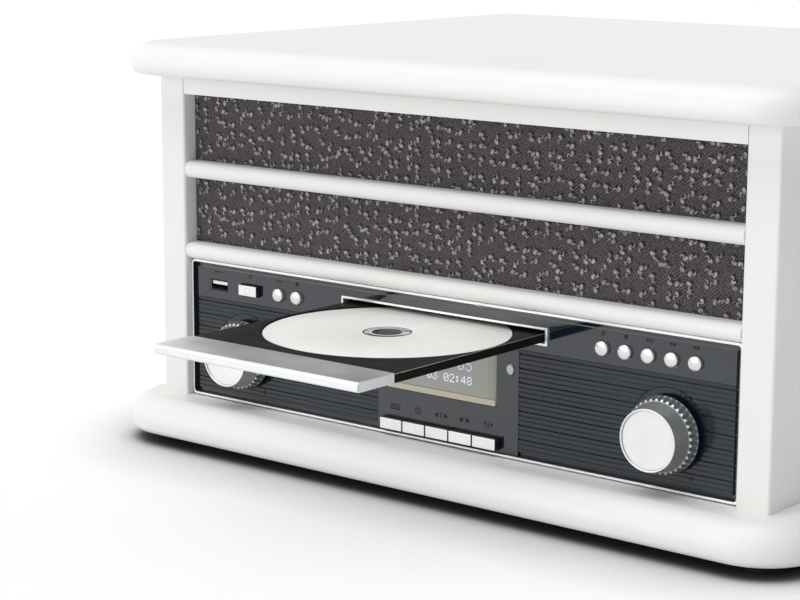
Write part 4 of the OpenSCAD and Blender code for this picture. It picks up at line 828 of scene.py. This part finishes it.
def make_cloth():
    """Two strips of cloth stretched over the speaker board, each a closed sheet that dips a
    little between the rails and turns in at its edges."""
    for name, (low, high) in zip(("lower", "upper"), solid_boxes("grille_cloths")):
        columns, rows, waves = 172, 18, 0.11 / MM
        thick, slack, turn_in, tuck = 0.6 * MM, 0.12 * MM, 1.6 * MM, 0.2 * MM
        shape = bmesh.new()
        width, height = high.x - low.x, high.z - low.z
        grid = []
        for j in range(rows + 1):
            line = []
            for i in range(columns + 1):
                x, z = low.x + width * i / columns, low.z + height * j / rows
                near = min(x - low.x, high.x - x, z - low.z, high.z - z) / turn_in
                y = low.y + slack + (tuck * (1 - near) ** 2 if near < 1 else 0.0)
                y -= slack * math.sin(math.pi * j / rows) * math.sin(waves * x) ** 2
                line.append(shape.verts.new((x, y, z)))
            grid.append(line)
        for below, above in zip(grid, grid[1:]):
            for i in range(columns):
                shape.faces.new((below[i], below[i + 1], above[i + 1], above[i]))
        bmesh.ops.recalc_face_normals(shape, faces=shape.faces)
        if shape.faces[0].normal.y > 0:
            bmesh.ops.reverse_faces(shape, faces=shape.faces)
        mesh = applied(linked("cloth", mesh_of(shape, "cloth")),
                       [("SOLIDIFY", {"thickness": thick, "offset": -1.0})])
        mesh.shade_smooth()
        piece = place_piece(f"speaker_cloth_{name}", mesh, "grille_cloths", ["speaker_cloth"],
                            ["grille_cloths"])


def make_panel(looks):
    """Moulded panel and ribbed inlays, bright frames with painted shade inside and under them, the
    USB socket, the printed signs, and painted shade round the knobs' bosses.
    """
    knobs = [middle(node) for node in ("volume_knob", "tuning_knob")]
    boss_face = 12 * MM
    panel = dressed("control_panel", looks.edge)
    paint(panel, "rib_plastic", lambda c, n: n.y < -0.8
          and any((c - k).xz.length < boss_face for k in knobs))
    dressed("ribbed_inlays", looks.edge * 2, "rib_plastic")
    trim = dressed("panel_trim", 0.3 * MM)
    low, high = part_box("panel_trim")
    heart, foot, end = (low + high) / 2, low.z + 0.35 * MM, high.x - 4 * MM
    # Painted shade: the frame's inner walls are painted dark, so the panel mirrors them as a dark
    # border, and so is the underside of its lower bar, for a dark line under the frame
    paint(trim, "socket_plastic", lambda c, n: (c.z < foot and n.z < -0.3)
          or (abs(n.x) > 0.5 and n.x * (heart.x - c.x) > 0 and abs(c.x) > end)
          or (abs(n.z) > 0.5 and n.z * (heart.z - c.z) > 0))
    dressed("slot_trim", 0.2 * MM)
    socket = dressed("usb_socket", 0.08 * MM)
    low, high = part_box("usb_socket")
    # Its pale tongue fills the upper half of the mouth
    mouth, rim, roof = (low + high) / 2, 0.5 * MM, high.z - 1.0 * MM
    left, right = mouth.x - 2.8 * MM, mouth.x + 5.6 * MM
    paint(socket, "socket_plastic", lambda c, n: c.x > low.x + rim)
    paint(socket, "white_plastic", lambda c, n: c.y > low.y + rim and left < c.x < right
          and mouth.z < c.z < roof and n.y < 0.5 and n.z < 0.5)
    front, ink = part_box("control_panel")[0].y, 0.05 * MM
    outlines = []
    for nodes, (over, size) in ((("usb_socket", "power_button", *ROUND_BUTTONS), BUTTON_SIGN),
                                (KEYS, KEY_SIGN)):
        for node in nodes:
            spot = middle(node)
            outlines += sign_of(node, spot.x, spot.z + over, size)
    place_piece("panel_signs", flat_marks(outlines, front, ink), "control_panel", ["ink"])
    outlines = []
    # The centre of a knob's boss lies above the knob's, and the signs at its sides below
    boss_up, ring_out, ring_in = 1.6 * MM, 20.3 * MM, 19.9 * MM
    aside, below, line, wide, stub = 13 * MM, 19.5 * MM, 0.5 * MM, 2.6 * MM, 1.05 * MM
    stub_off = 0.9 * MM
    for spot in knobs:
        # Painted shade, drawn in ink, in the narrow gap round the boss
        outlines += [arc_outline(spot.x, spot.z + boss_up, ring_out, ring_in, start, 178, 60)
                     for start in (1, 181)]
        outlines += [bar_outline(spot.x + side * aside, spot.z - below, wide, line)
                     for side in (-1, 1)]
        outlines += [bar_outline(spot.x + aside, spot.z - below + off, line, stub)
                     for off in (stub_off, -stub_off)]
    # The signs, and the painted shade round each boss
    place_piece("knob_signs", flat_marks(outlines, front, ink), "ribbed_inlays", ["ink"])


def make_display(looks):
    """Display window with the light guide along its foot, lit digits, and the receiver's dome."""
    low, high = min(solid_boxes("front_lenses"), key=lambda box: box[0].x)
    window = dressed("front_lenses", 0.12 * MM, "lens_plastic", "display_window")
    paint(window, "window_edge",
          lambda c, n: c.x < high.x + MM and (abs(n.x) > 0.3 or abs(n.z) > 0.3))
    paint(window, "sensor_lens", lambda c, n: c.x > high.x + MM)
    # Painted shade on the right side of the receiver's dome
    paint(window, "disc_hub", lambda c, n: c.x > high.x + MM and n.x > 0.25 and n.y < -0.1)
    front, film, inset = low.y, 0.03 * MM, 0.25 * MM
    left, right, foot = low.x + inset, high.x - inset, low.z + inset
    tall, edge, line = 2.9 * MM, 0.5 * MM, 0.22 * MM
    strip = [bar_outline((left + right) / 2, foot + tall / 2, right - left, tall)]
    place_piece("display_strip", flat_marks(strip, front, film), "front_lenses", ["light_strip"])
    lines = [bar_outline((left + right) / 2, foot + tall + edge / 2, right - left, edge)]
    top = high.z - inset
    for i in range(4):
        x = right - (0.5 + 1.15 * i) * MM
        lines.append(bar_outline(x, (foot + tall + edge + top) / 2, line,
                                 top - foot - tall - edge - 0.1 * MM))
    place_piece("display_lines", flat_marks(lines, front, film), "front_lenses", ["strip_line"])
    pitch, end, lower, upper = 0.6 * MM, 19.4 * MM, low.z + 8.5 * MM, low.z + 15.5 * MM
    spots = lit_dots(looks.track, end, lower, pitch)
    spots += lit_dots(looks.time, end, upper, 1.35 * pitch)
    dot = small_block((0.92 * pitch, 0.92 * pitch, 2 * film), 0.01 * MM)
    points = [(Vector((x, front, z)), Vector((0, -1, 0))) for x, z in spots]
    digits = repeated("display_digits", points, dot, "lit_digit",
                      {"Size": 1.0, "Random turn": 0.0})
    place_piece("display_digits", digits, "front_lenses", None)


def make_knobs(looks):
    """Two turned knobs: a rimmed flat face, a smooth barrel that widens, and a fluted skirt whose
    lands start with a steep facet."""
    for node in ("volume_knob", "tuning_knob"):
        low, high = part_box(node)
        centre = Vector(((low.x + high.x) / 2, low.y, (low.z + high.z) / 2))
        skirt = (high.x - low.x) / 2
        face, waist, groove = skirt - 3.7 * MM, skirt - 1.9 * MM, skirt - 1.75 * MM
        start, back, shaft = 9.1 * MM, 15.1 * MM, high.y - low.y
        rim = looks.rim

        def fluted(radius, height, angle):
            if not start < height < back - 0.2 * MM or radius < groove:
                return radius
            hollow = 0.5 + 0.5 * math.cos(looks.flutes * angle)
            share = min(1.0, max(0.0, (hollow - 0.22) / 0.5))
            return radius + (groove - radius) * share

        outline = [(0.0, 0.8 * MM), (face - rim - 0.25 * MM, 0.8 * MM),
                   (face - rim - 0.2 * MM, 0.7 * MM), (face - rim, 0.12 * MM),
                   (face - rim + 0.15 * MM, 0.0), (face - 0.35 * MM, 0.0),
                   (face - 0.1 * MM, 0.1 * MM), (face, 0.4 * MM)]
        outline += [(face + (waist - face) * t ** 1.25, 0.4 * MM + (start - 0.4 * MM) * t)
                    for t in (0.03, 0.25, 0.5, 0.75, 0.97, 1.0)]
        land = ((-1.5, 0.05), (-1.2, 0.2), (-0.9, 0.5), (-0.72, 0.95), (-0.5, 1.9), (-0.28, 3.0),
                (-0.1, 4.4), (0.0, 5.3), (0.0, 5.7), (-0.4, 6.0))
        outline += [(skirt + out * MM, start + behind * MM) for out, behind in land]
        outline += [(3 * MM, back), (3 * MM, shaft), (0.0, shaft)]
        mesh = smooth(turned_mesh(node, outline, centre, Vector((0, 1, 0)), looks.flutes * 12,
                                  fluted), 40.0)
        piece = place_piece(f"fluted_{node}", mesh, node, ["silver_plastic"], [node])
        # The front takes the paler copy of the silver, painted as where lit
        paint(piece, "knob_face", lambda c, n: n.y < -0.45 and c.y < low.y + 0.9 * MM)
        # Painted highlights on the steep facets where the lands start
        paint(piece, "bright_trim", lambda c, n: start < c.y - low.y < start + 0.55 * MM
              and (c - centre).xz.length > skirt - 1.35 * MM)


def make_buttons():
    """Domed round buttons, and white caps with dark sides for the keys and the power button."""
    for node in ROUND_BUTTONS:
        dressed(node, 0.12 * MM, "button_silver", sharp=50.0)
    rim = 0.9 * MM
    for node in (*KEYS, "power_button"):
        cap = dressed(node, 0.18 * MM, "white_plastic")
        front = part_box(node)[0].y
        paint(cap, "socket_plastic", lambda c, n: n.y > -0.8 or c.y > front + rim)
    power, front = middle("power_button"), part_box("power_button")[0].y
    sign = [arc_outline(power.x, power.z, 1.9 * MM, 1.5 * MM, start, 176) for start in (2, 182)]
    place_piece("power_sign", flat_marks(sign, front, 0.03 * MM), "power_button",
                ["button_silver"])


def make_drawer():
    """Black drawer with its brushed front bar, and a disc with its clear hub and ridge."""
    low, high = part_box("cd_tray")
    # The rack under the tray keeps its sharp teeth, clear of the pinion
    edge, rack_up = 0.25 * MM, 2 * MM
    tray = dressed("cd_tray", edge, above=low.z + rack_up)
    # Painted highlights along its long upper edges
    paint(tray, "bar_edge", lambda c, n: 0.3 < n.z < 0.95 and abs(n.x) > 0.3
          and min(c.x - low.x, high.x - c.x) < 2 * edge)
    bar = dressed("tray_front", edge)
    # Painted light: the front and ends take the paler copy, as where lit
    paint(bar, "bar_edge", lambda c, n: n.y < -0.9 or abs(n.x) > 0.9)
    # Painted reflection: a dark line along the bar's front corners
    paint(bar, "drive_steel", lambda c, n: n.y < -0.3 and abs(n.x) > 0.3)
    low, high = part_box("compact_disc")
    centre = Vector(((low.x + high.x) / 2, (low.y + high.y) / 2, low.z))
    radius, thick = (high.x - low.x) / 2, high.z - low.z
    hole, hub, print_in, film_in = 7.5 * MM, 17.2 * MM, 12.0 * MM, 22 * MM
    soft, dark_line = 0.15 * MM, 0.9 * MM
    outline = [(hole, soft), (hole + soft, 0.0), (hub - MM, 0.0), (hub - 0.7 * MM, 0.12 * MM),
               (hub + 0.7 * MM, 0.12 * MM), (hub + MM, 0.0), (radius - soft, 0.0), (radius, soft),
               (radius, thick - soft), (radius - soft, thick - 0.02 * MM),
               (radius - MM, thick - 0.02 * MM), (radius - 1.05 * MM, thick),
               (print_in + 0.1 * MM, thick), (print_in, thick - 0.05 * MM),
               (print_in - 0.5 * MM, thick - 0.15 * MM), (print_in - 0.8 * MM, thick - 0.05 * MM),
               (hole + 0.8 * MM, thick - 0.05 * MM), (hole + soft, thick - 0.05 * MM),
               (hole, thick - 0.2 * MM), (hole, soft)]
    mesh = smooth(turned_mesh("disc", outline, centre, Vector((0, 0, 1)), 144))
    disc = place_piece("disc_with_hub", mesh, "compact_disc", ["disc_plastic"], ["compact_disc"])
    paint(disc, "disc_mirror", lambda c, n: n.z < -0.5 and (c - centre).xy.length > film_in)
    paint(disc, "disc_hub", lambda c, n: (c - centre).xy.length < print_in
          or (n.z < 0.5 and (c - centre).xy.length <= film_in) or abs(n.z) < 0.3)
    # Round the hub the film stops in a dark line, and the rim of the hole takes a painted highlight
    paint(disc, "disc_mirror", lambda c, n: n.z > 0.95
          and hole + MM < (c - centre).xy.length < print_in - dark_line)
    paint(disc, "mat_rubber", lambda c, n: n.z > 0.5
          and print_in - dark_line < (c - centre).xy.length < print_in + 0.02 * MM)
    paint(disc, "bar_edge", lambda c, n: n.z > 0.5
          and hole + 0.1 * MM < (c - centre).xy.length < hole + 0.8 * MM)


def make_deck(looks):
    """Deck plate, platter with its strobe dots, spindle, mat, arm and levers."""
    for node in ("turntable_deck", "arm_base", "headshell"):
        dressed(node, 0.3 * MM)
    for node in ("arm_yoke", "tonearm", "cue_lever", "speed_lever"):
        dressed(node, 0.15 * MM)
    for node in ("platter", "platter_spindle", "platter_mat", "motor_pulley"):
        dressed(node, 0.15 * MM, sharp=40.0)
    low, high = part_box("platter")
    centre, radius = (low + high) / 2, (high.x - low.x) / 2
    dot = small_block((looks.dot * 0.45, looks.dot, 0.08 * MM), 0.02 * MM)
    points = []
    for i in range(looks.dots):
        angle = math.tau * i / looks.dots
        out = Vector((math.cos(angle), math.sin(angle), 0))
        points.append((centre + out * radius, out))
    dots = repeated("strobe_dots", points, dot, "spindle_steel",
                    {"Size": 1.0, "Random turn": 0.0})
    place_piece("strobe_dots", dots, "platter", None)


def make_back():
    """Sockets with their coloured rings, hinges, the stay and the screws of the back."""
    sockets = dressed("rear_sockets", 0.15 * MM)
    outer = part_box("rear_sockets")[1].y
    # Radii of the ring and of the steel sleeve, and how far in from the tip each starts
    ring_r, sleeve_in, sleeve_out = 5.8 * MM, 2.5 * MM, 4.5 * MM
    ring_y, sleeve_y = outer - 7 * MM, outer - 6.2 * MM
    places = {mount["name"]: mount["pos_m"] for mount in frame["record"]["mounts"]}
    for name, ring in (("line_out_left", "ring_white"), ("line_out_right", "ring_red")):
        x, _, z = places[name]
        paint(sockets, ring, lambda c, n: n.y > 0.9 and c.y > ring_y
              and math.hypot(c.x - x, c.z - z) < ring_r)
        paint(sockets, "socket_steel", lambda c, n: abs(n.y) < 0.5 and c.y > sleeve_y
              and sleeve_in < math.hypot(c.x - x, c.z - z) < sleeve_out)
    for node in ("cabinet_hinge_parts", "lid_hinge_parts", "lid_stay"):
        dressed(node, 0.12 * MM)
    low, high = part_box("back_panel")
    inset, upper, lower = 6 * MM, high.z - 40 * MM, low.z + 6 * MM
    across = [low.x + inset, (low.x + high.x) / 2, high.x - inset]
    out = Vector((0, 1, 0))
    points = [(Vector((x, high.y, z)), out) for x in across for z in (lower, upper)]
    points += [(Vector((x, high.y, (upper + lower) / 2)), out) for x in (across[0], across[2])]
    screws = repeated("back_screws", points, screw_part(2.6 * MM), "hinge_steel",
                      {"Size": 1.0, "Random turn": 1.0})
    place_piece("back_screws", screws, "back_panel", None)


def make_inside():
    """Finishes for the pieces inside, which keep their CAD shape."""
    for node, slot in SLOT_OF.items():
        shown = NODES[node]
        if not shown.hide_render:
            shown.data.materials.clear()
            shown.data.materials.append(FINISHES[slot])


def make_stage(looks):
    """White floor, soft lights, white surroundings and the camera of the photograph."""
    scene = bpy.context.scene
    scene.view_settings.view_transform = "Standard"
    half = 4.0
    floor_mesh = bpy.data.meshes.new("floor")
    floor_mesh.from_pydata([(-half, -half, 0), (half, -half, 0), (half, half, 0), (-half, half, 0)],
                           [], [(0, 1, 2, 3)])
    floor = linked("floor", floor_mesh)
    # Matt paper sweep, so pale that only the contact shadow shows on it
    material, tree, shader, _ = plain_finish("matt_white_paper", looks.floor, 0.0, 0.9, 1.5,
                                             0.01, spread=0.0)
    # The paper darkens close to the set, for the deep contact shadow of the photograph
    shade_reach, shade_power = 0.085, 1.25
    near = add(tree, "ShaderNodeAmbientOcclusion", {"Distance": shade_reach}, samples=12)
    fall = number(tree, "POWER", near.outputs["AO"], shade_power)
    shade = mixed(tree, fall, (0, 0, 0, 1), looks.floor)
    tree.links.new(shade, shader.inputs["Base Color"])
    floor_mesh.materials.append(material)
    world = bpy.data.worlds.new("white_surroundings")
    scene.world = world
    world.use_nodes = True
    tree = world.node_tree
    tree.nodes.clear()
    rays = add(tree, "ShaderNodeLightPath")
    # White where it is seen, mirrored or looked through, and weaker as a light
    seen = number(tree, "MAXIMUM", rays.outputs["Is Camera Ray"], rays.outputs["Is Glossy Ray"])
    seen = number(tree, "MAXIMUM", seen, rays.outputs["Is Transmission Ray"])
    sky = add(tree, "ShaderNodeBackground", {"Color": (1, 1, 1, 1),
                                             "Strength": ranged(tree, seen, to_low=looks.sky)})
    add(tree, "ShaderNodeOutputWorld", {0: sky.outputs[0]})
    # Both lights are wide discs far away, so they fall evenly on the whole floor.
    # Each row: name, strength, width in degrees, direction it comes from
    lamps = (("front_light", looks.front, 40, (-0.42, -0.90, 0.12)),
             ("top_light", looks.top, 56, (-0.08, -0.24, 1.0)))
    for name, strength, spread, direction in lamps:
        lamp = bpy.data.lights.new(name, "SUN")
        lamp.energy, lamp.angle = strength, math.radians(spread)
        shown = linked(name, lamp)
        shown.rotation_euler = Vector(direction).to_track_quat("Z", "Y").to_euler()
    # The open drawer throws no hard shade on the keys and the plinth: the top light passes it
    passed = bpy.data.collections.new("light_passes")
    shown.light_linking.blocker_collection = passed
    for piece in scene.objects:
        if piece.name in ("finished_cd_tray", "finished_tray_front", "disc_with_hub"):
            passed.objects.link(piece)
    for member in passed.collection_objects:
        member.light_linking.link_state = "EXCLUDE"
    camera = bpy.data.cameras.new("photo_camera")
    camera.sensor_width, camera.lens = 36.0, 97.68
    camera.clip_end = 20.0
    viewer = linked("photo_camera", camera)
    # As fitted to the edges in the photograph: place, headings, and lean in radians
    heading, down, lean = math.radians(39.067), math.radians(10.973), 0.004
    place = Vector((0.64808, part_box("front_frame")[0].y - 0.82612, 0.30328))
    viewer.matrix_world = (Matrix.Translation(place)
                           @ Matrix.Rotation(heading, 4, "Z")
                           @ Matrix.Rotation(math.pi / 2 - down, 4, "X")
                           @ Matrix.Rotation(lean, 4, "Z"))
    scene.camera = viewer


class MUSIC_OT_finishes(bpy.types.Operator):
    """Makes the material of each slot"""
    bl_idname = "music.finishes"
    bl_label = "Finishes"

    def execute(self, context):
        prepare_finishes(context.scene)
        bare = set(SLOT_OF.values()) - set(FINISHES)
        if bare:
            raise RuntimeError(f"No finish for: {', '.join(sorted(bare))}")
        return {"FINISHED"}


class MUSIC_OT_cabinet(bpy.types.Operator):
    """Makes the lacquered boards, the feet and the back"""
    bl_idname = "music.cabinet"
    bl_label = "Cabinet"

    def execute(self, context):
        make_cabinet(context.scene.music_cabinet)
        return finished("finished_side_panels", "finished_plinth", "finished_lid")


class MUSIC_OT_cloth(bpy.types.Operator):
    """Stretches the cloth over the speakers"""
    bl_idname = "music.cloth"
    bl_label = "Speaker cloth"

    def execute(self, context):
        make_cloth()
        return finished("speaker_cloth_lower", "speaker_cloth_upper")


class MUSIC_OT_panel(bpy.types.Operator):
    """Makes the control panel with its frames and signs"""
    bl_idname = "music.panel"
    bl_label = "Control panel"

    def execute(self, context):
        make_panel(context.scene.music_panel)
        return finished("finished_control_panel", "panel_signs", "knob_signs")


class MUSIC_OT_display(bpy.types.Operator):
    """Makes the display window, its digits and the receiver's dome"""
    bl_idname = "music.display"
    bl_label = "Display"

    def execute(self, context):
        make_display(context.scene.music_panel)
        return finished("display_window", "display_strip", "display_digits")


class MUSIC_OT_knobs(bpy.types.Operator):
    """Makes the two fluted knobs"""
    bl_idname = "music.knobs"
    bl_label = "Knobs"

    def execute(self, context):
        make_knobs(context.scene.music_knobs)
        return finished("fluted_volume_knob", "fluted_tuning_knob")


class MUSIC_OT_buttons(bpy.types.Operator):
    """Makes the buttons and the keys"""
    bl_idname = "music.buttons"
    bl_label = "Buttons and keys"

    def execute(self, context):
        make_buttons()
        return finished("finished_power_button", "power_sign")


class MUSIC_OT_drawer(bpy.types.Operator):
    """Makes the disc drawer and its disc"""
    bl_idname = "music.drawer"
    bl_label = "Disc drawer"

    def execute(self, context):
        make_drawer()
        return finished("finished_cd_tray", "finished_tray_front", "disc_with_hub")


class MUSIC_OT_deck(bpy.types.Operator):
    """Makes the record deck under the lid"""
    bl_idname = "music.deck"
    bl_label = "Record deck"

    def execute(self, context):
        make_deck(context.scene.music_deck)
        return finished("finished_platter", "finished_tonearm", "strobe_dots")


class MUSIC_OT_back(bpy.types.Operator):
    """Makes the sockets, hinges and screws of the back"""
    bl_idname = "music.back"
    bl_label = "Back"

    def execute(self, context):
        make_back()
        return finished("finished_rear_sockets", "back_screws")


class MUSIC_OT_inside(bpy.types.Operator):
    """Gives the pieces inside their finishes"""
    bl_idname = "music.inside"
    bl_label = "Inside"

    def execute(self, context):
        make_inside()
        if any(not NODES[node].data.materials for node in SLOT_OF):
            raise RuntimeError("A piece inside has no finish")
        return {"FINISHED"}


class MUSIC_OT_stage(bpy.types.Operator):
    """Sets the floor, the lamps and the camera"""
    bl_idname = "music.stage"
    bl_label = "Stage and camera"

    def execute(self, context):
        make_stage(context.scene.music_stage)
        return finished("floor", "front_light", "top_light", "photo_camera")


OPERATORS = (MUSIC_OT_finishes, MUSIC_OT_cabinet, MUSIC_OT_cloth, MUSIC_OT_panel, MUSIC_OT_display,
             MUSIC_OT_knobs, MUSIC_OT_buttons, MUSIC_OT_drawer, MUSIC_OT_deck, MUSIC_OT_back,
             MUSIC_OT_inside, MUSIC_OT_stage)


class MUSIC_PT_panel(bpy.types.Panel):
    """Lists the pieces in the order in which they are made"""
    bl_idname = "MUSIC_PT_panel"
    bl_label = "Stereo music centre"
    bl_space_type = "VIEW_3D"
    bl_region_type = "UI"
    bl_category = "Music centre"

    def draw(self, context):
        for operator in OPERATORS:
            self.layout.operator(operator.bl_idname)
        for name, group in SETTINGS.items():
            box = self.layout.box()
            for setting in group.__annotations__:
                box.prop(getattr(context.scene, name), setting)


SETTINGS = {"music_cabinet": CabinetLooks, "music_cloth": ClothLooks, "music_panel": PanelLooks,
            "music_knobs": KnobLooks, "music_deck": DeckLooks, "music_stage": StageLooks}
CLASSES = (*SETTINGS.values(), *OPERATORS, MUSIC_PT_panel)


def register():
    for cls in CLASSES:
        bpy.utils.register_class(cls)
    for name, group in SETTINGS.items():
        setattr(bpy.types.Scene, name, PointerProperty(type=group))


def unregister():
    for name in SETTINGS:
        delattr(bpy.types.Scene, name)
    for cls in reversed(CLASSES):
        bpy.utils.unregister_class(cls)


def main():
    """Makes the whole scene."""
    register()
    for operator in (bpy.ops.music.finishes, bpy.ops.music.cabinet, bpy.ops.music.cloth,
                     bpy.ops.music.panel, bpy.ops.music.display, bpy.ops.music.knobs,
                     bpy.ops.music.buttons, bpy.ops.music.drawer, bpy.ops.music.deck,
                     bpy.ops.music.back, bpy.ops.music.inside, bpy.ops.music.stage):
        operator()


if __name__ == "__main__":
    main()
